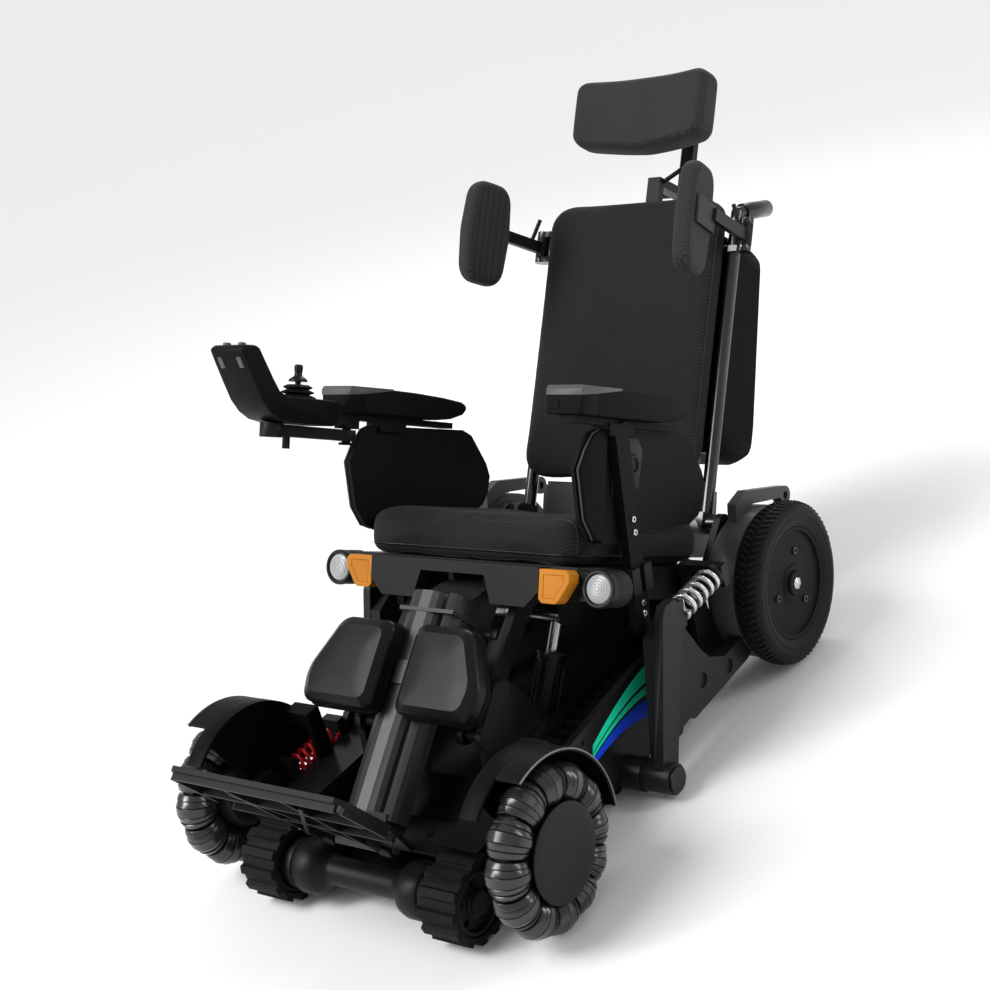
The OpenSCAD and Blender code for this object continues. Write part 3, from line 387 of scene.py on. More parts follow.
for name, flip in sides:
    place = chassis @ flip @ Matrix.Translation((wheel_middle, hub_y, hub_z))
    tyre = turned([(92, -17), (98, -20.5), (106, -22.6), (116, -23), (122, -22), (126.5, -19), (129, -14),
                   (130, -7), (130.2, 0), (130, 7), (129, 14), (126.5, 19), (122, 22), (116, 23), (110, 22.4),
                   (108, 21.4), (106, 22.2), (98, 20.5), (92, 17), (92, -17)], 96)
    tread = bmesh.new()
    for half in (-1, 1):
        lug = block((16.5, 5.2, 5))
        top = [v for v in lug.verts if v.co.z > 0]
        bmesh.ops.scale(lug, vec=(0.93, 0.7, 1), verts=top)
        lean = spun("Z", 26 * half) @ spun("Y", 13 * half)
        shift = spun("X", 2.0 * half) @ Matrix.Translation((10.2 * half, 0, tread_radius))
        add(tread, lug, shift @ lean)
    around(tread, tread_count)
    add(tyre, tread)
    tyre = settle(tyre, f"rear_tread_{name}", f"wheel_{name[0]}", tyre_rubber, place, 32)
    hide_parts(f"rear_tyre_{name}")
    disc = turned([(0, -16), (90, -16), (92, -15), (92, 15.4), (90.5, 17), (87, 17), (84.6, 15.6), (84, 12.4),
                   (82, 11.2), (60, 10.4), (34, 10.4), (31, 11), (29, 13), (27, 13.4), (21, 13.4), (20, 14.4),
                   (20, 17.6), (18.6, 19), (0, 19)], 72)
    wheel = settle(disc, f"rear_disc_{name}", f"wheel_{name[0]}", disc_plastic, place, 28)
    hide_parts(f"rear_wheel_{name}")
    screws = bmesh.new()
    for count in range(3):
        screw = turned([(0, 9), (6.2, 9), (6.2, 13.2), (5.4, 14), (3.2, 14), (2.8, 11.5), (0, 11.5)], 24)
        add(screws, screw, spun("X", 120 * count - 30) @ Matrix.Translation((0, 0, screw_circle)))
    nut = turned([(0, 14), (11, 14), (11, 20.4), (9.6, 21.6), (6, 21.6), (5, 22.6), (0, 22.8)], 6)
    bevel(nut, nut.edges[:], 0.4, 1)
    settle(nut, f"rear_nut_{name}", f"wheel_{name[0]}", bright_steel, place, 30)
    settle(screws, f"rear_screws_{name}", f"wheel_{name[0]}", dark_steel, place, 30)
    dress(f"wheel_motor_{name}", motor_casing, 3)
    dress(f"swing_arm_{name}", coat(f"arm_coat_{name}", (0.009, 0.009, 0.0095), 0.4, gloss=0.2, wear=0.35), 2)

# Side covers: flat black plates that close the track carriers and hold the arm pivots. Each carries
# three plain printed stripes, two green and one blue, that fan out towards the back.
cover_coat = coat("cover_coat", (0.008, 0.008, 0.0085), 0.3, grain=1300, bump=0.02, gloss=0.2)
stripe_green = coat("stripe_green", (0.01, 0.66, 0.38), 0.45, grain=1500, bump=0.02, gloss=0.06, wear=0.0)
stripe_blue = coat("stripe_blue", (0.006, 0.055, 0.66), 0.45, grain=1500, bump=0.02, gloss=0.06, wear=0.0)
cover_face = 222.3
nose_top, nose_low = Vector((252, 122)), Vector((236, 92))
tail_top, tail_low = Vector((486, 152)), Vector((418, 66))
rise = Vector((18, 26))
stripe_steps, stripe_bow, stripe_thick = 24, 2.4, 0.35
stripes = (("wide_green", 0.0, 0.36, stripe_green), ("thin_green", 0.44, 0.6, stripe_green),
           ("blue", 0.69, 1.0, stripe_blue))
for name, flip in sides:
    dress(f"side_cover_{name}", cover_coat, 1.5)
    for label, top, low, ink in stripes:
        bm = bmesh.new()
        nose = [nose_top.lerp(nose_low, f) for f in (top, low)]
        tail = [tail_top.lerp(tail_low, f) for f in (top, low)]
        verts = [bm.verts.new((cover_face, *p)) for p in nose]
        edge = bm.edges.new(verts)
        for step in range(1, stripe_steps + 1):
            t = step / stripe_steps
            made = bmesh.ops.extrude_edge_only(bm, edges=[edge])["geom"]
            edge = next(g for g in made
                        if isinstance(g, bmesh.types.BMEdge) and all(v in made for v in g.verts))
            ends = sorted(edge.verts, key=lambda v: -v.co.z)
            for v, a, b in zip(ends, nose, tail):
                v.co.yz = a.lerp(b, t) + rise * stripe_bow * t * (1 - t)
        bmesh.ops.solidify(bm, geom=bm.faces[:], thickness=-stripe_thick)
        settle(bm, f"stripe_{label}_{name}", "chassis", ink, chassis @ flip, 50)

# Springs: wound from round wire. The front pair is painted red and steadies the roller wheels,
# the rear pair is bright steel over a black damper and lifts the wheel arms off the ground. Each spring
# stands between the chassis and its arm.
red_paint = coat("red_paint", (0.72, 0.008, 0.014), 0.25, grain=1500, bump=0.02, gloss=0.5, wear=0.1)
spring_steel = coat("spring_steel", (0.7, 0.7, 0.72), 0.24, grain=700, bump=0.03, metal=0.85, gloss=0.5,
                    wear=0.0)
red_at, shock_at = (229, 72, 134), (286, 448, 240)


def coil(radius, thick, turns, length):
    """A closed wire helix along +Y from the origin."""
    bm = bmesh.new()
    steps = int(turns * 28)
    start = bmesh.ops.create_circle(bm, segments=12, radius=thick,
                                    matrix=Matrix.Translation((radius, thick, 0)))
    geom = start["verts"] + list({e for v in start["verts"] for e in v.link_edges})
    climb = (length - 2 * thick) / steps
    bmesh.ops.spin(bm, geom=geom, cent=(0, 0, 0), axis=(0, 1, 0), dvec=(0, climb, 0), angle=math.tau * turns,
                   steps=steps)
    bmesh.ops.holes_fill(bm, edges=[e for e in bm.edges if e.is_boundary], sides=0)
    return bm


for name, flip in sides:
    place = chassis @ flip @ Matrix.Translation(red_at)
    wound = settle(coil(13.5, 3.1, 6.5, 100), f"red_spring_{name}", None, red_paint, place, 60)
    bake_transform(wound)
    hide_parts(f"front_spring_{name}")
    place = chassis @ flip @ Matrix.Translation(shock_at)
    wound = settle(coil(16.6, 4.0, 5.5, 108), f"shock_spring_{name}", None, spring_steel, place, 60)
    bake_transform(wound)
    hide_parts(f"rear_spring_{name}")
    damper = turned([(0, 74), (10.5, 74), (11.5, 75), (11.5, 98), (17, 99), (20.5, 101), (20.5, 108),
                     (0, 108)], 32)
    settle(damper, f"shock_damper_{name}", "chassis", black_coat, place @ spun("Z", 90), 30)

# Tilt actuators: ribbed gear motor bodies on the chassis with ground steel rods up to the seat.
ram_body = coat("ram_body", (0.006, 0.006, 0.0065), 0.3, grain=1100, bump=0.04, gloss=0.22)
dress("tilt_actuator", ram_body, 1.2)
dress("tilt_rods", bright_steel, 0.6)
ram_foot, ram_angle, rib_count = (84, 280, 75), 49.0665, 14
for name, flip in sides:
    ribs = bmesh.new()
    for count in range(rib_count):
        rib = block((2.2, 3, 92), (0, 22.4, 88))
        bevel(rib, rib.edges[:], 0.6, 2)
        add(ribs, rib, spun("Z", 360 * count / rib_count))
    place = chassis @ flip @ Matrix.Translation(ram_foot) @ spun("X", ram_angle - 90)
    settle(ribs, f"ram_ribs_{name}", "actuator", ram_body, place)

# Seat frame: black coated pan, rails, hinge brackets and armrest sleeves under the cushion.
dress("seat_frame", black_coat, 1.5)
dress("power_box", coat("box_grey", (0.07, 0.071, 0.074), 0.42, grain=1200, bump=0.04), 4)

# Front fascia: a dark moulded panel under the seat edge, with a lamp pod at each end on a louvred block.
dress("seat_fascia", coat("fascia_grey", (0.009, 0.009, 0.0095), 0.48, grain=1000, bump=0.08, gloss=0.14), 3)

# Corner lights: amber lenses in a bevelled frame, with a sunk window.
amber = coat("amber_lens", (0.5, 0.18, 0.012), 0.4, grain=1200, bump=0.02, gloss=0.12, wear=0.05)
dress("corner_lights", amber, 2)

# Lamp lenses: round frosted lenses with fine prism lines, behind a black rim.
frosted = coat("frosted_lens", (0.4, 0.41, 0.42), 0.22, grain=600, bump=0.2, gloss=0.5, wear=0.0)
lamp_at = (255, 113.4, 462)
for name, flip in sides:
    lens_form = turned([(0, 8.4), (3, 8.3), (3.6, 7.4), (4.2, 8.1), (7, 7.9), (7.6, 7), (8.2, 7.7), (11, 7.4),
                        (11.6, 6.5), (12.2, 7.2), (15, 6.6), (15.6, 5.7), (16.2, 6.3), (19, 5.2), (20.5, 4.4),
                        (21.6, 3.2), (21.6, 0), (0, 0)], 48)
    place = level @ flip @ Matrix.Translation(lamp_at) @ spun("Z", -90)
    lens_piece = settle(lens_form, f"lamp_lens_{name}", "seat", frosted, place, 40)
    if name == "left":
        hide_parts("lamp_lenses")
    rim = turned([(21.8, 1), (21.8, 5), (23.2, 6.6), (26.4, 6.6), (28.4, 4.6), (28.4, -6), (27.6, -6),
                  (27.6, 1), (21.8, 1)], 48)
    settle(rim, f"lamp_rim_{name}", "seat", dark_moulding, place, 30)

# Seat cushion: foam in a black spacer-mesh cover, low in the middle with raised sides, sewn along its
# front edge, whose lip hangs over the seat pan.


def weave(name, colour, cell, lean, rough=0.75, bump=0.5):
    """Spacer mesh: diagonal yarns of that cell size, in millimetres, that cross on a pad's front and top."""
    made = bpy.data.materials.new(name)
    made.use_nodes = True
    tree, link = made.node_tree.nodes, made.node_tree.links.new
    shader = tree["Principled BSDF"]
    shader.inputs["Specular IOR Level"].default_value = 0.1
    shader.inputs["Sheen Weight"].default_value = 0.04
    shader.inputs["Sheen Roughness"].default_value = 0.4
    place = tree.new("ShaderNodeTexCoord")
    heights = []
    for angle, slant, size in ((45, -35.3, cell), (-45, 35.3, cell), (45, 35.3, cell * 0.42)):
        tilted = tree.new("ShaderNodeMapping")
        tilted.inputs["Rotation"].default_value = (lean, 0, 0)
        turned_yarn = tree.new("ShaderNodeMapping")
        turned_yarn.inputs["Rotation"].default_value = (0, math.radians(angle), math.radians(slant))
        yarn = tree.new("ShaderNodeTexWave")
        yarn.inputs["Scale"].default_value = math.tau / (20 * size * mm * math.cos(math.radians(slant)))
        yarn.inputs["Distortion"].default_value = 0.4
        link(place.outputs["Object"], tilted.inputs["Vector"])
        link(tilted.outputs["Vector"], turned_yarn.inputs["Vector"])
        link(turned_yarn.outputs["Vector"], yarn.inputs["Vector"])
        heights.append(yarn.outputs["Fac"])
    crossed = tree.new("ShaderNodeMath")
    crossed.operation = "MULTIPLY"
    knit = tree.new("ShaderNodeMath")
    knit.operation = "MULTIPLY_ADD"
    knit.inputs[1].default_value = 0.35
    cloud = tree.new("ShaderNodeTexNoise")
    cloud.inputs["Scale"].default_value = 9
    tone = tree.new("ShaderNodeMapRange")
    tone.inputs["To Min"].default_value = 0.75
    tone.inputs["To Max"].default_value = 1.25
    shade = tree.new("ShaderNodeValToRGB")
    shade.color_ramp.elements[0].color = (*[c * 0.45 for c in colour], 1)
    shade.color_ramp.elements[1].color = (*[c * 1.5 for c in colour], 1)
    tinted = tree.new("ShaderNodeVectorMath")
    tinted.operation = "SCALE"
    roughness = tree.new("ShaderNodeMapRange")
    roughness.inputs["To Min"].default_value = rough + 0.1
    roughness.inputs["To Max"].default_value = rough - 0.1
    relief = tree.new("ShaderNodeBump")
    relief.inputs["Strength"].default_value = bump
    relief.inputs["Distance"].default_value = 0.0008
    link(heights[0], crossed.inputs[0])
    link(heights[1], crossed.inputs[1])
    link(heights[2], knit.inputs[0])
    link(crossed.outputs[0], knit.inputs[2])
    link(place.outputs["Object"], cloud.inputs["Vector"])
    link(cloud.outputs["Fac"], tone.inputs["Value"])
    link(knit.outputs[0], shade.inputs["Fac"])
    link(shade.outputs["Color"], tinted.inputs[0])
    link(tone.outputs["Result"], tinted.inputs["Scale"])
    link(tinted.outputs["Vector"], shader.inputs["Base Color"])
    link(knit.outputs[0], roughness.inputs["Value"])
    link(roughness.outputs["Result"], shader.inputs["Roughness"])
    link(knit.outputs[0], relief.inputs["Height"])
    link(relief.outputs["Normal"], shader.inputs["Normal"])
    return made


def applied(obj):
    """Makes an object's modifiers part of its mesh."""
    bpy.context.view_layer.update()
    shown_mesh = bpy.data.meshes.new_from_object(obj.evaluated_get(bpy.context.evaluated_depsgraph_get()))
    old = obj.data
    obj.modifiers.clear()
    obj.data = shown_mesh
    bpy.data.meshes.remove(old)


def relaxed(obj, rounds):
    """Evens out the skin of a pad by moving each point towards its neighbours."""
    bm = bmesh.new()
    bm.from_mesh(obj.data)
    for count in range(rounds):
        bmesh.ops.smooth_vert(bm, verts=bm.verts, factor=0.5, use_axis_x=True, use_axis_y=True,
                              use_axis_z=True)
    bm.to_mesh(obj.data)
    bm.free()


def padding(node, name, body, finish, place, form, stuffed=True, cap=0, sculpt=None):
    """A pad in its CAD node's box. A stuffed one is drawn in, remeshed and blown up by cloth pressure."""
    inward = place.inverted()
    room = [inward @ v.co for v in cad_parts[node].data.vertices]
    bmesh.ops.transform(form, matrix=place, verts=form.verts)
    bmesh.ops.recalc_face_normals(form, faces=form.faces)
    if stuffed:
        for v in form.verts:
            v.co -= v.normal * pad_drawn_in * mm
    mesh = bpy.data.meshes.new(name)
    form.to_mesh(mesh)
    form.free()
    obj = bpy.data.objects.new(name, mesh)
    bpy.context.scene.collection.objects.link(obj)
    if stuffed:
        skin = obj.modifiers.new("skin", "REMESH")
        skin.mode = "VOXEL"
        skin.voxel_size = pad_voxel * mm
        applied(obj)
        relaxed(obj, 5)
    if stuffed:
        start = [v.co.copy() for v in obj.data.vertices]
        cloth = obj.modifiers.new("cover", "CLOTH")
        cloth.settings.use_pressure = True
        cloth.settings.uniform_pressure_force = pad_pressure
        cloth.settings.quality = 4
        cloth.settings.tension_stiffness = 30
        cloth.settings.compression_stiffness = 30
        cloth.settings.bending_stiffness = 2
        cloth.settings.effector_weights.gravity = 0
        cloth.collision_settings.use_collision = False
        for step in range(1, pad_frames + 1):
            bpy.context.scene.frame_set(step)
        applied(obj)
        bpy.context.scene.frame_set(1)
        for v, at in zip(obj.data.vertices, start):
            moved = v.co - at
            if moved.length > cap * mm:
                v.co = at + moved.normalized() * cap * mm
        relaxed(obj, 6)
    local = [inward @ v.co for v in obj.data.vertices]
    if sculpt:
        local = [sculpt(co) for co in local]
    for axis in range(3):
        low, high = min(co[axis] for co in local), max(co[axis] for co in local)
        want_low, want_high = min(co[axis] for co in room), max(co[axis] for co in room)
        for co in local:
            co[axis] = want_low + (co[axis] - low) * (want_high - want_low) / (high - low)
    for v, co in zip(obj.data.vertices, local):
        v.co = place @ co
    for face in obj.data.polygons:
        face.use_smooth = True
    smooth = obj.modifiers.new("smooth", "SUBSURF")
    smooth.levels = smooth.render_levels = 1
    applied(obj)
    obj.data.materials.clear()
    obj.data.materials.append(finish)
    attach(obj, body)
    return obj


def panel(width, height, depth, corner, steps):
    """A block with its four upright corners rounded: x across, y deep, z high, from its middle."""
    bm = block((width, depth, height))
    along = [e for e in bm.edges if abs((e.verts[0].co - e.verts[1].co).y) > depth / 2]
    bevel(bm, along, corner, steps)
    return bm


def piping(pad, place, at, normal, radius, name, body):
    """A sewn cord laid along the line where a plane cuts a pad's skin."""
    bm = bmesh.new()
    bm.from_mesh(pad.data)
    normal = (place.to_3x3() @ Vector(normal)).normalized()
    cut = bmesh.ops.bisect_plane(bm, geom=whole(bm), plane_co=place @ Vector(at), plane_no=normal)
    bm.edges.index_update()
    left = {e for e in cut["geom_cut"] if isinstance(e, bmesh.types.BMEdge)}
    paths = []
    while left:
        first = min(left, key=lambda e: e.index)
        left.discard(first)
        chain = [first.verts[0], first.verts[1]]
        while True:
            onward = next((e for e in chain[-1].link_edges if e in left), None)
            if onward is None:
                break
            left.discard(onward)
            chain.append(onward.other_vert(chain[-1]))
        closed = chain[0] == chain[-1]
        points = [v.co.copy() for v in (chain[:-1] if closed else chain)][::2]
        if len(points) >= 12:
            paths.append((points, closed))
    bm.free()
    mesh = tubes(paths, radius * mm, 2)
    for face in mesh.polygons:
        face.use_smooth = True
    mesh.materials.append(piping_cord)
    obj = bpy.data.objects.new(name, mesh)
    bpy.context.scene.collection.objects.link(obj)
    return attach(obj, body)


seat_mesh = weave("seat_spacer_mesh", (0.018, 0.018, 0.0187), 4.2, seat_lean)
piping_cord = coat("piping_cord", (0.007, 0.007, 0.0075), 0.4, grain=1500, bump=0.1, gloss=0.2, wear=0.0)
pad_drawn_in, pad_voxel, pad_pressure, pad_frames = 3, 5, 4.0, 20
seat_wide, seat_deep, seat_high = 420, 358, 80
seat_front, seat_low = 112, 490
seat_dish, lip_drop, lip_deep, lip_high = 11, 13, 40, 50
seat_middle = (0, seat_front + seat_deep / 2, seat_low + seat_high / 2)
seat_form = block((seat_wide, seat_deep, seat_high), seat_middle)
corners = [e for e in seat_form.edges if abs((e.verts[0].co - e.verts[1].co).z) > 1]
bevel(seat_form, corners, 44, 6)
for height, radius in ((seat_low + seat_high, 34), (seat_low, 16)):
    rim = [e for e in seat_form.edges if all(abs(v.co.z - height) < 0.1 for v in e.verts)]
    bevel(seat_form, rim, radius, 5)


def dished(co):
    """Lowers the middle of the seat below its two side rolls."""
    share = min(1, max(0, (co.z - seat_low) / seat_high))
    across = min(1, abs(co.x) / (seat_wide / 2))
    return Vector((co.x, co.y, co.z - seat_dish * share * (1 - across ** 3)))


seat_pad = padding("seat_cushion", "seat_padding", "seat", seat_mesh, level, seat_form, cap=8,
                   sculpt=dished)
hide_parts("seat_cushion")
flat = level.inverted()
for v in seat_pad.data.vertices:
    co = flat @ v.co
    lip = max(0, 1 - (co.y - seat_front) / lip_deep) * max(0, 1 - (co.z - seat_low) / lip_high)
    v.co = level @ Vector((co.x, co.y, co.z - lip_drop * lip))
piping(seat_pad, level, (0, 200, 506), (0, 0, 1), 2, "seat_seam_low", "seat")
piping(seat_pad, level, (0, 130, 530), (0, 1, 0), 1.2, "seat_seam_front", "seat")

# Back cushion: a flat upholstered panel with rounded corners, spacer mesh in front and piped all round.
back_mesh = weave("back_spacer_mesh", (0.019, 0.019, 0.0197), 4.2, seat_lean + back_lean)
back_wide, back_high, back_thick, tuck_high = 344, 474, 46, 60
back_form = panel(back_wide, back_high, back_thick, 46, 8)
bmesh.ops.translate(back_form, vec=(0, back_thick / 2, back_high / 2), verts=back_form.verts)


def tucked(co):
    """Draws in the lower rear edge of the back, which passes over the control box when the back reclines."""
    low = max(0, 1 - co.z / tuck_high)
    return Vector((co.x, co.y * (1 - 0.5 * low), co.z))


back_pad = padding("back_cushion", "back_padding", "back", back_mesh, backrest, back_form,
                   cap=5, sculpt=tucked)
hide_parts("back_cushion")
for depth, label in ((36, "rear"), (14, "front")):
    piping(back_pad, backrest, (0, depth, 200), (0, 1, 0), 1.6, f"back_seam_{label}", "back")

# Back frame and shell: dark chromed canes with push handles, and a hard cover behind the panel with a
# screwed louvred hatch for the controls.


def slab(outline, low, high, edge=1.5, steps=3):
    """A plate: an outline of (y, z) points drawn out along X, with rounded edges."""
    bm = bmesh.new()
    face = bm.faces.new([bm.verts.new((low, y, z)) for y, z in outline])
    drawn = bmesh.ops.extrude_face_region(bm, geom=[face])["geom"]
    far = [g for g in drawn if isinstance(g, bmesh.types.BMVert)]
    bmesh.ops.translate(bm, vec=(high - low, 0, 0), verts=far)
    bmesh.ops.recalc_face_normals(bm, faces=bm.faces)
    sharp = [e for e in bm.edges if e.calc_face_angle(0) > math.radians(28)]
    bevel(bm, sharp, edge, steps, clamp_overlap=True)
    return bm


cane_gloss = coat("cane_gloss", (0.06, 0.06, 0.064), 0.2, grain=1500, bump=0.01, metal=0.9, gloss=0.5,
                  wear=0.0)
shell_moulding = coat("shell_moulding", (0.004, 0.004, 0.0044), 0.6, grain=800, bump=0.1, gloss=0.04,
                      wear=0.2)
dress("back_frame", cane_gloss, 0.8)
dress("back_shell", shell_moulding, 3)
rear_face = backrest @ Matrix.Translation((0, 188, 262)) @ spun("X", 6.43)
hatch = panel(252, 226, 6, 28, 6)
hatch_rim = [e for e in hatch.edges if all(v.co.y > 2.9 for v in e.verts)]
bevel(hatch, hatch_rim, 1.6, 3)
settle(hatch, "shell_hatch", "back", dark_moulding, rear_face)
louvres = bmesh.new()
for height in range(-54, 55, 18):
    louvre = slab(((2.8, -6), (6.4, -5), (6.4, -2), (2.8, 5)), -84, 84, 0.8, 2)
    add(louvres, louvre, Matrix.Translation((0, 0, height)))
settle(louvres, "shell_louvres", "back", dark_moulding, rear_face)
hatch_screws = bmesh.new()
for x in (-108, 108):
    for z in (-94, 94):
        head = turned([(0, 0), (5, 0), (5, 1.4), (4, 2.2), (2.4, 2.2), (2, 0.8), (0, 0.8)], 20)
        add(hatch_screws, head, Matrix.Translation((x, 2.9, z)) @ spun("Z", 90))
settle(hatch_screws, "shell_screws", "back", bright_steel, rear_face, 30)

# Headrest: a curved pad on a jointed steel stem with a clamp lever. Its form is cut into strips so that it
# can bend, and its rims are rounded.


def sliced(bm, along, length, count):
    """Cuts a form into strips along a direction."""
    for step in range(1, count):
        at = along * length * (step / count - 0.5)
        bmesh.ops.bisect_plane(bm, geom=whole(bm), plane_co=at, plane_no=along)


def rounded(bm, radius):
    """Rounds the front and rear rims of a pad's form."""
    rims = [e for e in bm.edges if e.calc_face_angle(0) > 0.8]
    bevel(bm, rims, radius, 6)


head_mesh = weave("head_spacer_mesh", (0.036, 0.036, 0.0372), 3.6, seat_lean + back_lean, bump=0.3)
dress("headrest_stem", black_coat, 1.5)
head_wide, head_high, head_thick, head_z, head_bend, head_dip = 262, 128, 58, 632, 18, 12
head_form = panel(head_wide, head_high, head_thick - head_bend, 24, 5)
sliced(head_form, Vector((1, 0, 0)), head_wide, 16)
for v in head_form.verts:
    share = abs(v.co.x) / (head_wide / 2)
    v.co.y -= head_bend * max(0, share - 0.25) ** 1.6
    v.co.z -= head_dip * (1 - share) if v.co.z < 0 else 0
bmesh.ops.translate(head_form, vec=(0, head_thick / 2, head_z), verts=head_form.verts)
rounded(head_form, 15)
head_pad = padding("headrest_pad", "head_padding", "head", head_mesh, backrest, head_form,
                   stuffed=False)
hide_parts("headrest_pad")

# Side supports: long rounded pads, covered in mesh, on hinged flat arms with a small lever.
side_wide, side_high, side_thick = 96, 176, 34
for name, flip in sides:
    dress(f"lateral_arm_{name}", black_coat, 1.2)
    hinge = backrest @ flip @ Matrix.Translation((210, -125, 397)) @ spun("Z", 10.6)
    pad_place = hinge @ Matrix.Translation((16, 0, 0)) @ spun("Z", 90)
    side_form = panel(side_wide, side_high, side_thick, 30, 5)
    sliced(side_form, Vector((0, 0, 1)), side_high, 12)
    for v in side_form.verts:
        v.co.x *= 1 - 0.16 * abs(v.co.z) / (side_high / 2)
    rounded(side_form, 13)
    side_pad = padding(f"lateral_pad_{name}", f"side_padding_{name}", f"lateral_{name[0]}", head_mesh,
                       pad_place, side_form, stuffed=False)
    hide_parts(f"lateral_pad_{name}")

# Armrests: posts with side guards, and firm moulded foam pads on top. Each pad ends in a hard front cap
# with a grey top and a socket; the guard's front edge is padded and piped with a cord coloured lighter grey
# than the guard as a painted highlight, and screws hold the post.
arm_foam = coat("arm_foam", (0.005, 0.005, 0.0054), 0.56, grain=800, bump=0.15, gloss=0.07, wear=0.1)
guard_moulding = coat("guard_moulding", (0.004, 0.004, 0.0044), 0.54, grain=700, bump=0.14, gloss=0.06,
                      wear=0.15)
cap_grey = coat("cap_grey", (0.075, 0.075, 0.078), 0.36, grain=1300, bump=0.04, gloss=0.3, wear=0.1)
# The piping cord's lighter grey is a painted highlight along the guard's front edge.
guard_piping_highlight = coat("guard_piping_highlight", (0.05, 0.05, 0.05), 0.5, grain=1300, bump=0.1, wear=0.0)
arm_x, guard_face = 222, 221.8
# Side view of an arm pad: a low crown on top, and an underside that sweeps up to the rear
arm_side = ((84, 709), (84, 749.6), (140, 751), (210, 750.4), (280, 747.6), (326, 743.6), (338, 739),
            (339.4, 731), (330, 722), (300, 713), (262, 709))
cap_side = ((50, 709), (50, 744), (54, 749), (88, 750.4), (88, 709))
trim_side = ((48.8, 736), (48.8, 745), (53, 750.6), (150, 752), (150, 749), (86, 740))
socket_side = ((48.8, 716), (48.8, 728), (52, 728), (52, 716))
bracket_side = ((176, 596), (172, 668), (186, 682), (236, 686), (252, 668), (246, 612), (226, 594))
guard_edge = ((150, 524.6), (126, 531), (101, 560), (82, 632), (96.6, 661.4), (114.4, 685), (130, 691),
              (150, 691.6))
post = level @ Matrix.Translation((0, 258, 400)) @ spun("X", 16.4)
for name, flip in sides:
    body = f"arm_{name[0]}"
    dress(f"arm_side_{name}", guard_moulding, 1.5)
    arm_top = slab(arm_side, arm_x - 30.6, arm_x + 30.6, 6, 4)
    arm_top = settle(arm_top, f"arm_padding_{name}", body, arm_foam, level @ flip, 24)
    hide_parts(f"arm_pad_{name}")
    cap = slab(cap_side, arm_x - 31, arm_x + 31, 2.5)
    settle(cap, f"arm_cap_{name}", body, guard_moulding, level @ flip)
    trim = slab(trim_side, arm_x - 31.6, arm_x + 31.6, 0.8)
    settle(trim, f"arm_trim_{name}", body, cap_grey, level @ flip)
    socket = slab(socket_side, arm_x - 24, arm_x - 8, 1)
    settle(socket, f"arm_socket_{name}", body, guard_moulding, level @ flip)
    front = slab(guard_edge, guard_face, 233, 4.5, 4)
    settle(front, f"guard_front_{name}", body, guard_moulding, level @ flip)
    bracket = slab(bracket_side, guard_face, 225.2, 1.2)
    boss = turned([(0, 0), (17, 0), (17, 2.4), (15.5, 3.6), (11, 3.6), (10, 1.4), (0, 1.4)], 36)
    add(bracket, boss, Matrix.Translation((225, 226, 644)))
    settle(bracket, f"guard_bracket_{name}", body, black_coat, level @ flip, 30)
    # A cord along the guard's front edge, lighter grey than the guard: a painted highlight.
    line = wire([(228, y, z) for y, z in guard_edge[1:-1]], 1.5)
    settle(line, f"guard_piping_highlight_{name}", body, guard_piping_highlight, level @ flip, 60)
    screws = bmesh.new()
    for along in (24, 40, 150, 170):
        head = turned([(0, 240), (5, 240), (5, 243.2), (4.2, 244), (2.4, 244), (2, 242), (0, 242)], 20)
        add(screws, head, Matrix.Translation((0, 0, along)))
    settle(screws, f"post_screws_{name}", body, bright_steel, post @ flip, 30)

# Controller: a swing bar under the right armrest carries a slab-like case with a sprung joystick.
dress("swing_bar", black_coat, 2)
case_plastic = coat("controller_plastic", (0.004, 0.004, 0.0044), 0.42, grain=1200, bump=0.05, gloss=0.07)
control_x, stick_y, stick_z, case_top = -222, -36, 714, 724
# Side view of the case: low behind the stick, rising to a handle-like nose
case_side = ((-188, 786), (-176, 766), (-160, 741), (-142, 714), (-125, 698), (-105, 688), (-80, 684),
             (12, 684), (24, 692), (26, 718), (20, 724), (-92, 724), (-107, 731), (-121, 748), (-152, 790),
             (-160, 794), (-180, 793))
case = slab(case_side, control_x - 36, control_x + 36, 4, 4)
case = settle(case, "controller_body", "control", case_plastic, level, 40)
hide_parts("controller_case")
upright = spun("Y", -90)
bellows = turned([(17, 0), (28.5, 0), (28.5, 2.4), (19, 5.6), (19, 6.6), (25.4, 8.6), (25.4, 10.4),
                  (17.6, 13.4), (17.6, 14.2), (22.4, 16.2), (22.4, 18), (16.6, 21), (16, 20), (16, 1),
                  (17, 0)], 40)
bellows_place = level @ Matrix.Translation((control_x, stick_y, case_top)) @ upright
settle(bellows, "stick_bellows", "control", belt_rubber, bellows_place, 50)
knob = turned([(0, 62.5), (4.6, 62.2), (6.4, 60.6), (7, 57.6), (6.6, 53), (5.8, 48.6), (6.2, 45.6), (8, 43.4),
               (12.6, 40.6), (14.8, 38), (15, 36), (4.5, 35.4), (4.5, 4), (0, 0)], 40)
knob_place = level @ Matrix.Translation((control_x, stick_y, stick_z)) @ upright
knob = settle(knob, "stick_knob", "stick", dark_moulding, knob_place, 40)
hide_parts("joystick")
buttons = bmesh.new()
for x in (-16, 16):
    button = turned([(0, 0), (6, 0), (6, 4), (5, 5.4), (0, 5.8)], 24)
    add(buttons, button, Matrix.Translation((control_x + x, -171, 791.6)) @ upright)
settle(buttons, "case_buttons", "control", cap_grey, level, 40)
sockets = bmesh.new()
for x in (-20, 20):
    socket = slab(((-4.5, -9), (4.5, -9), (4.5, 9), (-4.5, 9)), -0.8, 1.2, 0.6, 2)
    add(sockets, socket, Matrix.Translation((control_x + x, -176.5, 767)) @ spun("X", 33) @ spun("Z", 90))
settle(sockets, "case_sockets", "control", cap_grey, level, 40)
dress("joystick_gimbal", bright_steel, 0)

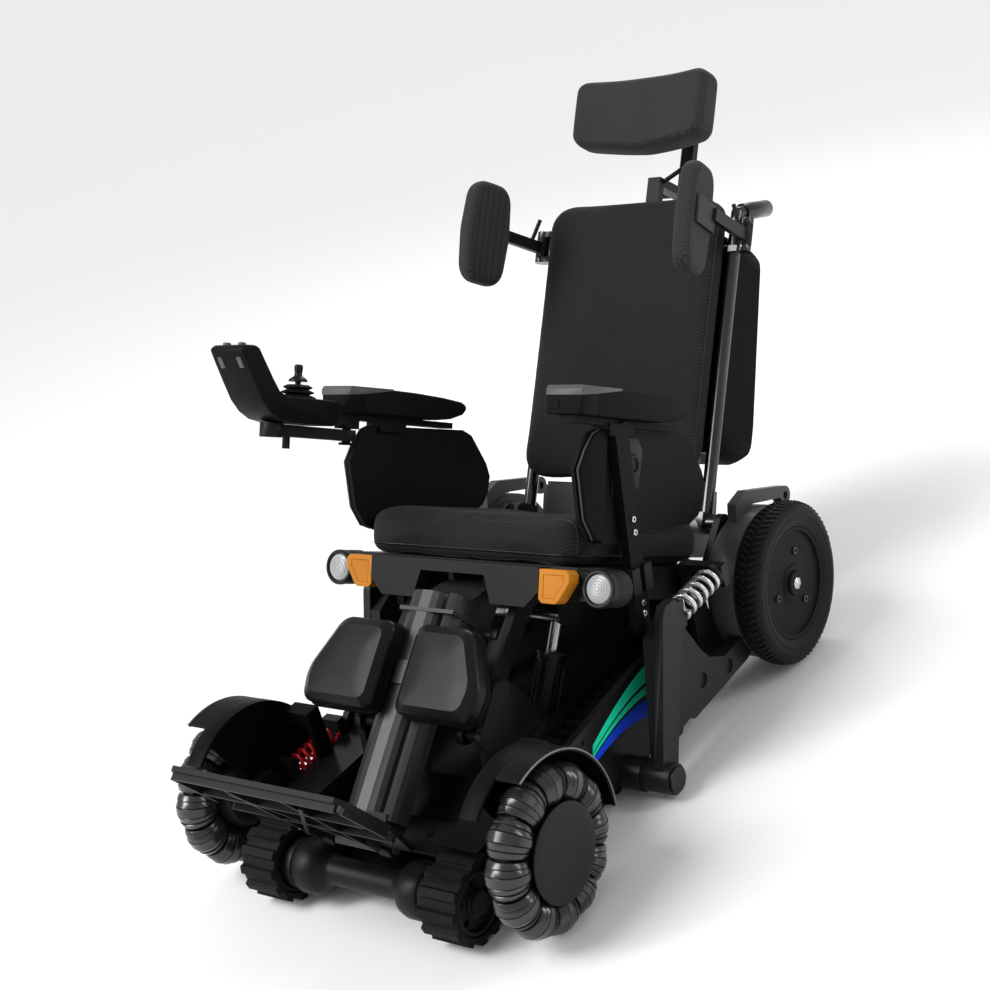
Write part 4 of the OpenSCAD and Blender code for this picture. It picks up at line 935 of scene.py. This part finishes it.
# Legrest: an extruded column on a parallel link, two firm vinyl calf pads and a ribbed footplate.
column_satin = coat("column_satin", (0.034, 0.034, 0.0357), 0.34, grain=1200, bump=0.03, metal=0.35,
                    gloss=0.35)
dress("leg_column", column_satin, 3)
dress("footplate", coat("foot_plastic", (0.006, 0.006, 0.0065), 0.42, grain=900, bump=0.08, gloss=0.16), 1.5)
column = level @ Matrix.Translation((0, 70, 433)) @ spun("X", -22)
calf_at = (95, -34, -131)
# Seen from the front: x outwards, z up, with the upper outer corner cut away
calf_outline = ((-74, -70), (66, -70), (74, -20), (30, 70), (-74, 70))


def calf_slab(layers, grow):
    """A pad body: its outline with rounded corners, raised through layers of (inset, rise)."""
    bm = bmesh.new()
    face = bm.faces.new([bm.verts.new((x * grow, 0, z * grow)) for x, z in calf_outline])
    bm.normal_update()
    if face.normal.y > 0:
        face.normal_flip()
    bevel(bm, face.verts[:], 16, 6, "VERTICES")
    bm.faces.ensure_lookup_table()
    face = bm.faces[0]
    bm.faces.new([bm.verts.new(v.co) for v in reversed(face.verts[:])])
    middle = Matrix.Translation((8, 0, 6))
    for inset, rise in layers:
        face = bmesh.ops.extrude_discrete_faces(bm, faces=[face])["faces"][0]
        bmesh.ops.translate(bm, vec=(0, -rise, 0), verts=face.verts[:])
        bmesh.ops.scale(bm, vec=(1 - inset / 72, 1, 1 - inset / 70), space=middle, verts=face.verts[:])
    bmesh.ops.remove_doubles(bm, verts=bm.verts, dist=0.01)
    bmesh.ops.recalc_face_normals(bm, faces=bm.faces)
    return bm


calf_vinyl = coat("calf_vinyl", (0.006, 0.006, 0.0064), 0.32, grain=700, bump=0.1, gloss=0.17, wear=0.1)
calf_layers = ((0, 8), (0, 15), (0.6, 2), (1.4, 2.4), (2.2, 2.2), (10.5, 6.5), (20, 1.3), (20, 0.6))
for name, flip in sides:
    place = column @ flip @ Matrix.Translation(calf_at)
    calf = settle(calf_slab(calf_layers, 0.985), f"calf_padding_{name}", "leg", calf_vinyl, place, 20)
    if name == "left":
        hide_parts("calf_pads")
    shell = calf_slab(((0, 7), (2, 2)), 1.01)
    settle(shell, f"calf_shell_{name}", "leg", guard_moulding, place, 32)
